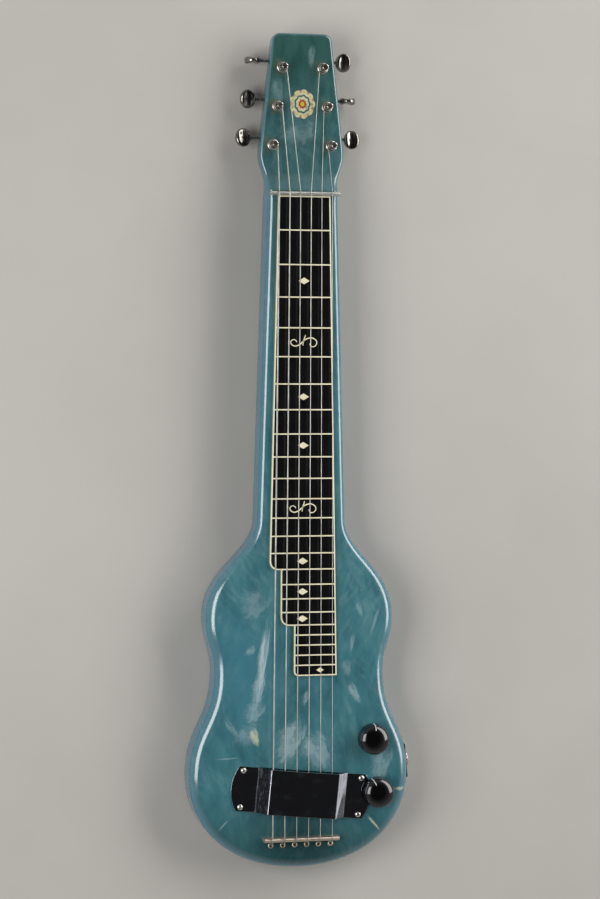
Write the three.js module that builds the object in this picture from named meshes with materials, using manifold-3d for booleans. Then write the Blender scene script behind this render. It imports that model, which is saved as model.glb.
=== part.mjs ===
// A lap steel guitar: one plank of wood in a skin of pearl sheet, with a layered fretboard,
// a metal nut and bridge, six strings, a bent cover over the pickup, two knobs and six worm tuners.
//
// It lies on its back: +Z is up out of the face, +Y runs to the head, +X is the treble side.
// Lengths are millimetres. A place called "at" is measured along the guitar from the bridge line,
// and one called "past" from the nut's line on, towards the head.
// The origin is on the back face, under the waist of the body.

import * as THREE from 'three';
import { mergeVertices } from 'three/addons/utils/BufferGeometryUtils.js';
import Module from 'manifold-3d';

const wasm = await Module();
wasm.setup();

// Driving dimensions

const clearance = 0.3;
const overrun = 2;

const scaleLength = 571.5;
const stringCount = 6;
const tunersPerSide = 3;

const body = {
  depth: 36,
  tail: 27.2,
  lowerBout: 99.6,
  lowerBoutAt: 56,
  waist: 76.9,
  waistAt: 147,
  upperBout: 85,
  upperBoutAt: 197,
  heel: 39.8,
  heelAt: 284,
  frontEdge: 10,
  backEdge: 6,
};

const neck = {
  throat: 31.5,
  throatPast: 3,
  frontEdge: 6,
  backEdge: 12,
};

const head = {
  flare: 38.1,
  flarePast: 34.5,
  shoulder: 27.3,
  shoulderPast: 132.5,
  crown: 19,
  tipPast: 141.5,
  drop: 8,
  scoop: 18,
  volute: 26,
  thickness: 14,
  edge: 3,
};

const skin = { thickness: 1 };

const board = {
  baseLayer: 0.8,
  blackLayer: 1.4,
  nutHalf: 23.4,
  endHalf: 31.6,
  line: 1.1,
  groove: 0.7,
  firstStep: 19.5,
  secondStep: 7.2,
  corner: 8.8,
  closeFretStep: 8.96,
};

const firstStepFret = 15;
const secondStepFret = 19;
const lastFret = 24;

const mark = {
  diamondHalf: 5,
  diamondReach: 3,
  scrollHalf: 12,
  scrollReach: 4,
  scrollLine: 1.05,
  fit: 0.15,
};

const nut = { length: 62.4, width: 3.4, height: 7.5 };
const bridge = { length: 68, width: 3.7, height: 7.5 };

const strings = {
  nutSpan: 48,
  bridgeSpan: 54.4,
  heaviest: 1.4,
  seatGap: 0.12,
  anchorBehind: 5.5,
  ball: 1.9,
  ballLength: 3,
  turnPitch: 2,
  bendRadius: 1.6,
};
const stringTurns = 1.5;
const stepsPerTurn = 18;
const gaugeShares = [1, 0.8, 0.66, 0.52, 0.42, 0.36];

const eyelet = { flange: 2.5, flangeHeight: 0.8, sleeve: 2, length: 8, bore: 1.35 };

const cover = {
  centreAt: 41.1,
  width: 40,
  crest: 31,
  foot: 40.7,
  wing: 57.7,
  bulge: 5.9,
  rise: 11.5,
  plate: 1.2,
  screwAlong: 54,
  screwAcross: 16.3,
};
const coverTurn = THREE.MathUtils.degToRad(-5.5);

const pickup = {
  pocketHalf: 36,
  pocketReach: 15.5,
  pocketDepth: 18,
  coilHalf: 30,
  coilReach: 9,
  coilHeight: 12,
  magnetHalf: 24,
  magnetReach: 2.5,
  magnetHeight: 16,
};

const screw = { head: 2.5, headHeight: 1.5, shank: 1.3, length: 11, slot: 0.7, slotDepth: 0.6 };

const knob = {
  radius: 14,
  shoulder: 13.2,
  sideHeight: 8,
  height: 13.5,
  recess: 6.7,
  recessHeight: 3,
  shaft: 3,
};
const volumeAt = 87.7;
const toneAt = 39.9;
const knobAcrossShares = { volume: 0.174, tone: 0.286 };

const pot = {
  can: 7.5,
  canHeight: 9,
  bushing: 4.6,
  nut: 5.6,
  nutHeight: 1.7,
  floor: 1,
  runningGap: 0.25,
};

const controlPocket = {
  innerMargin: 9.5,
  outerMargin: 2.8,
  tailMargin: 6.4,
  headMargin: 1.8,
  corner: 8,
  roof: 6,
  sideLedge: 4,
  screwLedge: 7,
};

const pocketCover = { thickness: 1.5, sunk: 0.3 };
const flatScrew = { head: 2.6, headHeight: 0.9, shank: 1.2, length: 9 };

const jack = {
  at: 65,
  height: 16,
  plateLength: 32,
  plateHeight: 18,
  plate: 1.2,
  seatDepth: 0.6,
  hole: 9,
  bushing: 4.8,
  bore: 3.3,
  nut: 6.6,
  nutHeight: 2.2,
  flange: 7.5,
  barrel: 6.6,
  barrelLength: 12,
  barrelWall: 1.2,
  screwAlong: 12.6,
};

const leadRadius = 0.9;
const leadChannel = 2.4;
const capacitor = { radius: 4, height: 8 };

const tuner = {
  firstPast: 43,
  pitch: 34.1,
  firstHalf: 26.5,
  lastHalf: 18.3,
  post: 2.7,
  postHole: 4.2,
  postAbove: 12.4,
  stringHole: 1,
  stringHoleDown: 4.2,
  bushingFlange: 5,
  bushingHeight: 1.2,
  bushingWall: 0.7,
  bushingLength: 8,
  plate: 1.2,
  plateHalf: 6.5,
  plateEnd: 12,
  gearPitch: 5.25,
  gearTip: 5.55,
  gearRoot: 4.5,
  gearHeight: 4.4,
  gearCap: 2.6,
  gearCapHeight: 1.2,
  shoulder: 3.7,
  wormPitch: 2,
  wormRoot: 1.45,
  wormTip: 2.5,
  wormHalf: 3.3,
  axisBelowPlate: 3.3,
  lug: 1.2,
  lugReach: 2.7,
  lugDrop: 6.2,
  shaft: 1.25,
  collar: 2.1,
  collarLength: 1.1,
  stem: 1.6,
  buttonCentre: 23,
  buttonHalf: 7,
  buttonReach: 8.4,
  buttonEnd: 3.3,
};
const gearTeeth = 14;
const buttonTurns = [-10, 12, 90, 15, 90, -6].map(THREE.MathUtils.degToRad);

// Places worked out from the sizes above

const faceTop = body.depth;
const headFace = body.depth - head.drop;
const headBack = headFace - head.thickness;
const boardFoot = faceTop;
const boardTop = boardFoot + board.baseLayer + board.blackLayer;
const plateBottom = headBack - tuner.plate;
const wormHeight = plateBottom - tuner.axisBelowPlate;
const coreInset = skin.thickness + clearance;

const throatAt = scaleLength + neck.throatPast;
const flareAt = scaleLength + head.flarePast;
const shoulderAt = scaleLength + head.shoulderPast;
const tipAt = scaleLength + head.tipPast;
const firstTunerAt = scaleLength + tuner.firstPast;

const along = (at) => at - body.waistAt;
const share = (from, to, amount) => from + (to - from) * amount;
const clampShare = (value, from, to) => THREE.MathUtils.clamp((value - from) / (to - from), 0, 1);

// Materials

const pearl = new THREE.MeshStandardMaterial({ color: 0x2f7f86, roughness: 0.25, metalness: 0 });
const wood = new THREE.MeshStandardMaterial({ color: 0xb98a56, roughness: 0.7, metalness: 0 });
const black = new THREE.MeshStandardMaterial({ color: 0x141416, roughness: 0.3, metalness: 0 });
const cream = new THREE.MeshStandardMaterial({ color: 0xe8dcb8, roughness: 0.4, metalness: 0 });
const chrome = new THREE.MeshStandardMaterial({ color: 0xc9ccd0, roughness: 0.15, metalness: 1 });
const nickel = new THREE.MeshStandardMaterial({ color: 0xb9b4a6, roughness: 0.3, metalness: 1 });
const brass = new THREE.MeshStandardMaterial({ color: 0xc9a45a, roughness: 0.3, metalness: 1 });
const steel = new THREE.MeshStandardMaterial({ color: 0xd5d2c8, roughness: 0.3, metalness: 1 });
const copper = new THREE.MeshStandardMaterial({ color: 0x9c4f2a, roughness: 0.5, metalness: 0.6 });
const bakelite = new THREE.MeshStandardMaterial({ color: 0x0c0c0d, roughness: 0.12, metalness: 0 });

// Geometry helpers. Each returns a closed BufferGeometry.

const knobSides = 20;
const roundSides = 12;
const smallSides = 8;
const pinSides = 6;
const outerSteps = 3;
const innerSteps = 1;
const cornerSteps = 3;
const plateCornerSteps = 2;
const crestSteps = 6;
const coverArcSteps = 8;

function toManifold(geometry) {
  const bare = new THREE.BufferGeometry();
  bare.setAttribute('position', geometry.getAttribute('position'));
  bare.setIndex(geometry.getIndex());
  const merged = mergeVertices(bare);
  const corners = merged.getIndex().array;
  const kept = [];
  for (let i = 0; i < corners.length; i += 3) {
    const [a, b, c] = corners.slice(i, i + 3);
    if (a !== b && b !== c && c !== a) kept.push(a, b, c);
  }
  const mesh = new wasm.Mesh({
    numProp: 3,
    vertProperties: Float32Array.from(merged.getAttribute('position').array),
    triVerts: Uint32Array.from(kept),
  });
  mesh.merge();
  return new wasm.Manifold(mesh);
}

function toGeometry(manifold) {
  const mesh = manifold.getMesh();
  const geometry = new THREE.BufferGeometry();
  geometry.setAttribute('position', new THREE.BufferAttribute(mesh.vertProperties, mesh.numProp));
  geometry.setIndex(new THREE.BufferAttribute(mesh.triVerts, 1));
  geometry.computeVertexNormals();
  return geometry;
}

function combine(operation, base, others) {
  let result = toManifold(base);
  for (const other of others) result = result[operation](toManifold(other));
  return toGeometry(result);
}

const cut = (base, ...tools) => combine('subtract', base, tools);
const join = (base, ...others) => combine('add', base, others);
const common = (base, other) => combine('intersect', base, [other]);

// A block centred on X and Y, standing on z = 0.
function block(width, length, height) {
  return new THREE.BoxGeometry(width, length, height).translate(0, 0, height / 2);
}

// A round bar standing on z = 0.
function upright(radius, height, sides = roundSides) {
  return new THREE.CylinderGeometry(radius, radius, height, sides)
    .rotateX(Math.PI / 2)
    .translate(0, 0, height / 2);
}

// A round bar along +X, starting at x = 0.
function lying(radius, length, sides = smallSides) {
  return upright(radius, length, sides).rotateY(Math.PI / 2);
}

// A profile of [radius, height] points turned round Z.
function turned(points, sides = roundSides) {
  const profile = points.map(([radius, height]) => new THREE.Vector2(radius, height));
  return new THREE.LatheGeometry(profile, sides).rotateX(Math.PI / 2);
}

// A flat shape, given by its outline points and those of its windows, raised to a height.
function prism(points, height, windows = []) {
  const shape = new THREE.Shape(points);
  shape.holes = windows.map((window) => new THREE.Path(window));
  return new THREE.ExtrudeGeometry(shape, { depth: height, bevelEnabled: false });
}

// An outline through corner points, each rounded by its own radius.
function roundedOutline(corners, steps = cornerSteps) {
  const points = [];
  corners.forEach(([x, y, radius], i) => {
    const here = new THREE.Vector2(x, y);
    const before = new THREE.Vector2(...corners.at(i - 1).slice(0, 2));
    const after = new THREE.Vector2(...corners[(i + 1) % corners.length].slice(0, 2));
    if (!radius) {
      points.push(here);
      return;
    }
    const start = here.clone().add(before.sub(here).setLength(radius));
    const end = here.clone().add(after.sub(here).setLength(radius));
    points.push(...new THREE.QuadraticBezierCurve(start, here, end).getPoints(steps));
  });
  return points;
}

// A rounded rectangle centred on the origin.
function roundedBox(halfWidth, halfLength, corner) {
  return roundedOutline([
    [-halfWidth, -halfLength, corner],
    [halfWidth, -halfLength, corner],
    [halfWidth, halfLength, corner],
    [-halfWidth, halfLength, corner],
  ]);
}

// A solid through a list of rings that all hold the same number of points.
function stack(rings, capIndices) {
  const count = rings[0].length;
  const positions = rings.flat().flatMap((point) => [point.x, point.y, point.z]);
  const indices = [];
  for (let level = 0; level + 1 < rings.length; level += 1) {
    for (let i = 0; i < count; i += 1) {
      const next = (i + 1) % count;
      const low = level * count;
      const high = low + count;
      indices.push(low + i, low + next, high + next, low + i, high + next, high + i);
    }
  }
  const last = (rings.length - 1) * count;
  for (const [a, b, c] of capIndices) indices.push(a, c, b, last + a, last + b, last + c);
  const geometry = new THREE.BufferGeometry();
  geometry.setAttribute('position', new THREE.Float32BufferAttribute(positions, 3));
  geometry.setIndex(indices);
  geometry.computeVertexNormals();
  return geometry;
}

const fan = (count) => Array.from({ length: count - 2 }, (_, i) => [0, i + 1, i + 2]);

// A round tube along points, with a ring at each point and flat ends.
function tube(points, radius, sides) {
  const rings = [];
  let normal = null;
  points.forEach((point, i) => {
    const before = points[Math.max(i - 1, 0)];
    const after = points[Math.min(i + 1, points.length - 1)];
    const tangent = after.clone().sub(before).normalize();
    if (!normal) {
      const steep = Math.abs(tangent.x) < Math.abs(tangent.y) + Math.abs(tangent.z);
      normal = new THREE.Vector3(steep ? 1 : 0, steep ? 0 : 1, 0).cross(tangent);
    }
    normal = normal.clone().addScaledVector(tangent, -normal.dot(tangent)).normalize();
    const across = tangent.clone().cross(normal);
    const circle = [];
    for (let s = 0; s < sides; s += 1) {
      const angle = (2 * Math.PI * s) / sides;
      circle.push(point.clone()
        .addScaledVector(normal, radius * Math.cos(angle))
        .addScaledVector(across, radius * Math.sin(angle)));
    }
    rings.push(circle);
  });
  return stack(rings, fan(sides));
}

// The mirror image across X, with its faces still pointing out.
function mirrored(geometry) {
  const copy = geometry.clone().scale(-1, 1, 1);
  const corners = copy.getIndex().array;
  for (let i = 0; i < corners.length; i += 3) {
    [corners[i + 1], corners[i + 2]] = [corners[i + 2], corners[i + 1]];
  }
  copy.computeVertexNormals();
  return copy;
}

const group = new THREE.Group();
group.name = 'lap_steel_guitar';

function add(name, geometry, material, x = 0, y = 0, z = 0) {
  const mesh = new THREE.Mesh(geometry, material);
  mesh.name = name;
  mesh.position.set(x, y, z);
  group.add(mesh);
  return mesh;
}

// Outline of the plank: the treble half, from the middle of the tail to the middle of the tip

function curve(from, fromPull, to, toPull, steps) {
  const pulled = (end, pull) => [end[0] + pull[0], end[1] + pull[1]];
  const ends = [from, pulled(from, fromPull), pulled(to, toPull), to];
  const bezier = new THREE.CubicBezierCurve(...ends.map(([x, y]) => new THREE.Vector2(x, y)));
  return bezier.getPoints(steps).slice(1);
}

const tailPullShares = [0.6, 0.58];
const boutPullShare = 0.47;
const waistPullShare = 0.48;
const shoulderPullShares = [0.5, 0.35];
const flarePullShares = [0.45, 0.3];
const flankPullShares = [0.07, 0.3];
const tipPullShares = [0.7, 0.6];
const outlineSteps = { tail: 8, bout: 5, waist: 4, shoulder: 6, neck: 2, flare: 5, flank: 3, tip: 3 };

function halfOutline() {
  const tailHeight = body.lowerBoutAt + body.tail;
  const boutHeight = body.waistAt - body.lowerBoutAt;
  const waistHeight = body.upperBoutAt - body.waistAt;
  const shoulderHeight = body.heelAt - body.upperBoutAt;
  const flareHeight = flareAt - throatAt;
  const flankHeight = shoulderAt - flareAt;
  const tipHeight = tipAt - shoulderAt;
  const tipWidth = head.shoulder - head.crown;
  const flankLean = (head.flare - head.shoulder) / flankHeight;
  const steps = outlineSteps;
  const tail = [0, -body.tail];
  const lower = [body.lowerBout, body.lowerBoutAt];
  const waist = [body.waist, body.waistAt];
  const upper = [body.upperBout, body.upperBoutAt];
  const heel = [body.heel, body.heelAt];
  const throat = [neck.throat, throatAt];
  const flare = [head.flare, flareAt];
  const shoulder = [head.shoulder, shoulderAt];
  const crown = [head.crown, tipAt];
  const boutPull = boutPullShare * boutHeight;
  const waistPull = waistPullShare * waistHeight;
  const flankPull = flankPullShares[1] * flankHeight;
  const pairs = [
    tail,
    ...curve(
      tail,
      [tailPullShares[0] * body.lowerBout, 0],
      lower,
      [0, -tailPullShares[1] * tailHeight],
      steps.tail,
    ),
    ...curve(lower, [0, boutPull], waist, [0, -boutPull], steps.bout),
    ...curve(waist, [0, waistPull], upper, [0, -waistPull], steps.waist),
    ...curve(
      upper,
      [0, shoulderPullShares[0] * shoulderHeight],
      heel,
      [0, -shoulderPullShares[1] * shoulderHeight],
      steps.shoulder,
    ),
    ...curve(heel, [0, 0], throat, [0, 0], steps.neck),
    ...curve(
      throat,
      [0, flarePullShares[0] * flareHeight],
      flare,
      [0, -flarePullShares[1] * flareHeight],
      steps.flare,
    ),
    ...curve(
      flare,
      [0, flankPullShares[0] * flankHeight],
      shoulder,
      [flankPull * flankLean, -flankPull],
      steps.flank,
    ),
    ...curve(
      shoulder,
      [0, tipPullShares[0] * tipHeight],
      crown,
      [tipPullShares[1] * tipWidth, 0],
      steps.tip,
    ),
    new THREE.Vector2(0, tipAt),
  ];
  return pairs.map((point) => (Array.isArray(point) ? new THREE.Vector2(...point) : point));
}

const half = halfOutline();

function halfWidthAt(at) {
  const i = half.findIndex((point, k) => k > 0 && point.y >= at);
  const [low, high] = [half[i - 1], half[i]];
  return share(low.x, high.x, (at - low.y) / (high.y - low.y));
}

// How the plank's faces and edge radii run along its length

const smooth = (t) => t * t * (3 - 2 * t);
const headShare = (at) => smooth(clampShare(at, throatAt - head.volute / 2, throatAt + head.volute / 2));
const neckShare = (at) => smooth(clampShare(at, body.upperBoutAt, body.heelAt));
const scoopShare = (at) => clampShare(at, throatAt, throatAt + head.scoop);
const topOf = (at) => body.depth - head.drop * Math.sin((Math.PI / 2) * scoopShare(at));
const bottomOf = (at) => headBack * headShare(at);
const edgeOf = (bodyEdge, neckEdge, at) => share(
  share(bodyEdge, neckEdge, neckShare(at)),
  head.edge,
  headShare(at),
);
const frontEdgeOf = (at) => edgeOf(body.frontEdge, neck.frontEdge, at);
const backEdgeOf = (at) => edgeOf(body.backEdge, neck.backEdge, at);

const outlineNormals = half.map((_, i) => {
  if (i === 0) return new THREE.Vector2(0, -1);
  if (i === half.length - 1) return new THREE.Vector2(0, 1);
  const run = half[i + 1].clone().sub(half[i - 1]).normalize();
  return new THREE.Vector2(run.y, -run.x);
});

// A closed ring round the plank, where level gives how far in and how high it runs at each place.
function ringAt(level) {
  const treble = half.map((point, i) => {
    const [inward, height] = level(point.y);
    const moved = point.clone().addScaledVector(outlineNormals[i], -inward);
    return new THREE.Vector3(moved.x, along(moved.y), height);
  });
  const bass = treble.slice(1, -1).reverse().map(({ x, y, z }) => new THREE.Vector3(-x, y, z));
  return [...treble, ...bass];
}

// Rings up the rounded back edge, from the back face to the side wall, drawn in by an inset.
function backRings(inset, steps) {
  return Array.from({ length: steps + 1 }, (_, step) => ringAt((at) => {
    const angle = (Math.PI / 2) * (step / steps);
    const radius = backEdgeOf(at) - inset;
    const rise = radius * (1 - Math.cos(angle));
    return [inset + radius * (1 - Math.sin(angle)), bottomOf(at) + inset + rise];
  }));
}

// Rings up the rounded front edge, from the side wall to the front face, drawn in by an inset.
function frontRings(inset, steps) {
  return Array.from({ length: steps + 1 }, (_, step) => ringAt((at) => {
    const angle = (Math.PI / 2) * (1 - step / steps);
    const radius = frontEdgeOf(at) - inset;
    const fall = radius * (1 - Math.cos(angle));
    return [inset + radius * (1 - Math.sin(angle)), topOf(at) - inset - fall];
  }));
}

// The seam between the two skins, where the back edge meets the side wall.
const seamRing = (inset, gap) => ringAt((at) => [inset, bottomOf(at) + backEdgeOf(at) + gap]);

// Triangles that close a ring straight across, from its treble side to its bass side.
function ringCaps() {
  const last = half.length - 1;
  const bassOf = (i) => (i === 0 || i === last ? i : 2 * last - i);
  const caps = [];
  for (let i = 0; i < last; i += 1) {
    if (i + 1 < last) caps.push([i, i + 1, bassOf(i + 1)]);
    if (i > 0) caps.push([i, bassOf(i + 1), bassOf(i)]);
  }
  return caps;
}

// Places that several pieces share

const stringIndices = Array.from({ length: stringCount }, (_, i) => i);
const stringAcross = (i, span) => span * (i / (stringCount - 1) - 0.5);
const gaugeOf = (i) => strings.heaviest * gaugeShares[i];
const anchorY = along(-strings.anchorBehind);

const tunerPlaces = stringIndices.map((i) => {
  const bass = i < tunersPerSide;
  const row = bass ? i : stringCount - 1 - i;
  return {
    side: bass ? -1 : 1,
    x: (bass ? -1 : 1) * share(tuner.firstHalf, tuner.lastHalf, row / (tunersPerSide - 1)),
    y: along(firstTunerAt + tuner.pitch * row),
  };
});

const onCover = (x, y) => new THREE.Vector2(x, y)
  .rotateAround(new THREE.Vector2(0, 0), coverTurn)
  .add(new THREE.Vector2(0, along(cover.centreAt)));

const coverScrewOffsets = [[-1, 1], [-1, -1], [1, 1], [1, -1]]
  .map(([sx, sy]) => [sx * cover.screwAlong, sy * cover.screwAcross]);
const coverScrewPlaces = coverScrewOffsets.map(([x, y]) => onCover(x, y));

const knobAcross = (name) => share(cover.wing, body.lowerBout, knobAcrossShares[name]);
const knobPlaces = {
  volume: { across: knobAcross('volume'), at: volumeAt },
  tone: { across: knobAcross('tone'), at: toneAt },
};
const knobLift = cover.plate + screw.headHeight + clearance;

const pocketNear = knobPlaces.volume.across - pot.can - controlPocket.innerMargin;
const pocketFar = knobPlaces.tone.across + pot.can + controlPocket.outerMargin;
const pocketFrom = toneAt - pot.can - controlPocket.tailMargin;
const pocketTo = volumeAt + pot.can + controlPocket.headMargin;
const pocketCentre = new THREE.Vector2((pocketNear + pocketFar) / 2, along((pocketFrom + pocketTo) / 2));
const pocketHalf = (pocketFar - pocketNear) / 2;
const pocketReach = (pocketTo - pocketFrom) / 2;
const pocketRoof = body.depth - controlPocket.roof;

const [jackFrom, jackTo] = [-1, 1].map((side) => jack.at + (side * jack.plateLength) / 2);
const jackSlope = Math.atan((halfWidthAt(jackTo) - halfWidthAt(jackFrom)) / jack.plateLength);

// Carries a geometry built along +X to the jack's place on the treble side wall.
function atJack(geometry) {
  return geometry.rotateZ(-jackSlope).translate(halfWidthAt(jack.at), along(jack.at), jack.height);
}

const jackFace = -jack.seatDepth + clearance;
const leadHeight = body.depth - pickup.pocketDepth + leadChannel + clearance;

// Cutters for the holes and pockets that run through the plank and its skin

function pillar(x, y, radius, from, to, sides = smallSides) {
  return upright(radius, to - from, sides).translate(x, y, from);
}

function pickupPocket() {
  const plan = roundedBox(pickup.pocketHalf, pickup.pocketReach, screw.head);
  return prism(plan, pickup.pocketDepth + overrun)
    .rotateZ(coverTurn)
    .translate(0, along(cover.centreAt), body.depth - pickup.pocketDepth);
}

function controlPocketCutter() {
  return prism(roundedBox(pocketHalf, pocketReach, controlPocket.corner), pocketRoof + overrun)
    .translate(pocketCentre.x, pocketCentre.y, -overrun);
}

function pocketCoverCutter(grow, height) {
  const halfWidth = pocketHalf + controlPocket.sideLedge + grow;
  const halfLength = pocketReach + controlPocket.screwLedge + grow;
  return prism(roundedBox(halfWidth, halfLength, controlPocket.corner), height + overrun)
    .translate(pocketCentre.x, pocketCentre.y, -overrun);
}

const pocketScrewPlaces = [-1, 1].map((side) => new THREE.Vector2(
  pocketCentre.x,
  pocketCentre.y + side * (pocketReach + controlPocket.screwLedge / 2),
));

const coverLedge = pocketCover.sunk + pocketCover.thickness + clearance;

function throughCutters() {
  const top = body.depth + overrun;
  const cutters = [pickupPocket()];
  for (const i of stringIndices) {
    const x = stringAcross(i, strings.bridgeSpan);
    const sleeveFoot = body.depth - eyelet.length - clearance;
    cutters.push(pillar(x, anchorY, eyelet.sleeve + clearance, sleeveFoot, top));
  }
  for (const { x, y } of tunerPlaces) cutters.push(pillar(x, y, tuner.postHole, headBack, top));
  for (const { x, y } of coverScrewPlaces) {
    cutters.push(pillar(x, y, screw.shank + clearance, body.depth - screw.length, top));
  }
  for (const { across, at } of Object.values(knobPlaces)) {
    const radius = pot.bushing + clearance;
    cutters.push(pillar(across, along(at), radius, pocketRoof - overrun, top, roundSides));
  }
  const reach = halfWidthAt(jack.at) - pocketFar + overrun;
  cutters.push(atJack(lying(jack.hole, reach + overrun, roundSides).translate(-reach, 0, 0)));
  cutters.push(atJack(block(overrun, jack.plateLength + 2 * clearance, jack.plateHeight + 2 * clearance)
    .translate(overrun / 2 - jack.seatDepth, 0, -jack.plateHeight / 2 - clearance)));
  for (const side of [-1, 1]) {
    cutters.push(atJack(lying(screw.shank + clearance, screw.length + overrun)
      .translate(-screw.length, side * jack.screwAlong, 0)));
  }
  return cutters;
}

function backCutters() {
  const cutters = [];
  const ballRoof = strings.ballLength + 2 * clearance + skin.thickness;
  for (const i of stringIndices) {
    const x = stringAcross(i, strings.bridgeSpan);
    cutters.push(pillar(x, anchorY, strings.ball + clearance, -overrun, ballRoof));
    cutters.push(pillar(x, anchorY, strings.heaviest / 2 + clearance, 0, body.depth));
  }
  for (const { x, y } of tunerPlaces) cutters.push(pillar(x, y, tuner.postHole, 0, body.depth));
  for (const { x, y } of pocketScrewPlaces) {
    cutters.push(pillar(x, y, flatScrew.shank + clearance, 0, flatScrew.length + clearance));
  }
  return cutters;
}

// Plank and skin

function makeBody() {
  const caps = ringCaps();
  const core = stack([...backRings(coreInset, innerSteps), ...frontRings(coreInset, innerSteps)], caps);
  const through = throughCutters();
  const back = backCutters();
  const coverPlace = pocketCoverCutter(clearance, coverLedge);
  const channel = lying(leadChannel, pocketNear + pocketHalf)
    .translate(0, along(cover.centreAt), leadHeight);
  add('wood_body', cut(core, ...through, ...back, controlPocketCutter(), coverPlace, channel), wood);

  // The front skin runs down its inner side, across the seam and up its outer side.
  const front = stack([
    ...frontRings(skin.thickness, innerSteps).reverse(),
    seamRing(skin.thickness, clearance),
    seamRing(0, clearance),
    ...frontRings(0, outerSteps),
  ], caps);
  add('pearloid_front', cut(front, ...through), pearl);

  const rear = stack([
    ...backRings(0, outerSteps - 1),
    ...backRings(skin.thickness, innerSteps).reverse(),
  ], caps);
  add('pearloid_back', cut(rear, ...back, coverPlace), pearl);
}

// Fretboard

const fretAt = (fret) => {
  if (fret <= secondStepFret) return scaleLength / 2 ** (fret / 12);
  return scaleLength / 2 ** (secondStepFret / 12) - (fret - secondStepFret) * board.closeFretStep;
};
const boardHalfAt = (at) => share(
  board.endHalf,
  board.nutHalf,
  (at - fretAt(lastFret)) / (scaleLength - fretAt(lastFret)),
);

const boardHead = scaleLength - nut.width / 2 - clearance;

// The board's bass edge beside a fret space. It steps in twice.
function boardLeft(fret, at) {
  if (fret <= firstStepFret) return -boardHalfAt(at);
  return fret <= secondStepFret ? -board.firstStep : -board.secondStep;
}

function boardOutline(inset) {
  const headEnd = boardHead - inset;
  const [first, second, last] = [firstStepFret, secondStepFret, lastFret]
    .map((fret) => fretAt(fret) - board.line / 2 + inset);
  const corner = board.corner - inset;
  return roundedOutline([
    [inset - boardHalfAt(headEnd), along(headEnd), 0],
    [inset - boardHalfAt(first), along(first), corner],
    [inset - board.firstStep, along(first), 0],
    [inset - board.firstStep, along(second), corner],
    [inset - board.secondStep, along(second), 0],
    [inset - board.secondStep, along(last), corner / 2],
    [boardHalfAt(last) - inset, along(last), 0],
    [boardHalfAt(headEnd) - inset, along(headEnd), 0],
  ]);
}

// Scroll mark: a line that curls over at both ends and a short stroke across its middle,
// drawn as shares of the mark's half size.
const scrollLineShares = [
  [-0.53, 0.04], [-0.6, 0.4], [-0.76, 0.58], [-0.94, 0.33], [-0.98, -0.12], [-0.86, -0.62],
  [-0.62, -0.84], [-0.32, -0.51], [-0.1, 0.04], [0.12, 0.62], [0.4, 0.93], [0.68, 0.92],
  [0.93, 0.42], [0.98, -0.22], [0.84, -0.82], [0.64, -0.96], [0.5, -0.68], [0.45, -0.24],
];
const scrollStrokeShares = [[0.12, 1.6], [0.07, 1], [-0.03, 0.2], [-0.06, -0.74]];
const scrollLineSteps = 22;
const scrollStrokeSteps = 3;
const strokeEndShare = 0.55;

// A brush stroke along a line, thinner at its ends.
function ribbon(shares, steps, grow) {
  const knots = shares.map(([x, y]) => new THREE.Vector2(x * mark.scrollHalf, y * mark.scrollReach));
  const line = new THREE.SplineCurve(knots).getPoints(steps);
  const left = [];
  const right = [];
  line.forEach((point, i) => {
    const before = line[Math.max(i - 1, 0)];
    const after = line[Math.min(i + 1, steps)];
    const run = after.clone().sub(before).normalize();
    const side = new THREE.Vector2(-run.y, run.x);
    const swell = share(strokeEndShare, 1, Math.sin((Math.PI * i) / steps));
    const reach = (mark.scrollLine * swell) / 2 + grow;
    left.unshift(point.clone().addScaledVector(side, reach));
    right.push(point.clone().addScaledVector(side, -reach));
  });
  return [...right, ...left];
}

const diamondFrets = [3, 7, 9, 15, 17, 19];
const scrollFrets = [5, 12];
const lastMarkShares = [0.52, 0.7];

function markGeometries(grow, foot, top) {
  const parts = [];
  const middle = (fret) => along((fretAt(fret) + fretAt(fret - 1)) / 2);
  const diamond = (x, y, size) => {
    const halfWidth = mark.diamondHalf * size + grow;
    const reach = mark.diamondReach * size + grow;
    const corners = [[halfWidth, 0], [0, reach], [-halfWidth, 0], [0, -reach]];
    const points = corners.map((corner) => new THREE.Vector2(...corner));
    parts.push(prism(points, top - foot).translate(x, y, foot));
  };
  for (const fret of diamondFrets) diamond(0, middle(fret), 1);
  diamond(lastMarkShares[0] * boardHalfAt(fretAt(lastFret)), middle(lastFret), lastMarkShares[1]);
  for (const fret of scrollFrets) {
    const line = prism(ribbon(scrollLineShares, scrollLineSteps, grow), top - foot);
    const stroke = prism(ribbon(scrollStrokeShares, scrollStrokeSteps, grow), top - foot);
    parts.push(join(line, stroke).translate(0, middle(fret), foot));
  }
  return parts;
}

// Edge binding and fret lines in one sheet, with a window for each fret space.
function lattice(grow, foot, top) {
  const rim = board.line + grow;
  const turns = {
    [firstStepFret]: board.corner,
    [secondStepFret]: board.corner,
    [lastFret]: board.corner / 2,
  };
  const windows = Array.from({ length: lastFret }, (_, i) => {
    const fret = i + 1;
    const near = fretAt(fret) + board.line / 2 + grow;
    const far = fret === 1 ? boardHead - rim : fretAt(fret - 1) - board.line / 2 - grow;
    const corner = fret in turns ? turns[fret] - rim : 0;
    return roundedOutline([
      [boardLeft(fret, far) + rim, along(far), 0],
      [boardLeft(fret, near) + rim, along(near), corner],
      [boardHalfAt(near) - rim, along(near), 0],
      [boardHalfAt(far) - rim, along(far), 0],
    ]);
  });
  return prism(boardOutline(-grow), top - foot, windows).translate(0, 0, foot);
}

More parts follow.
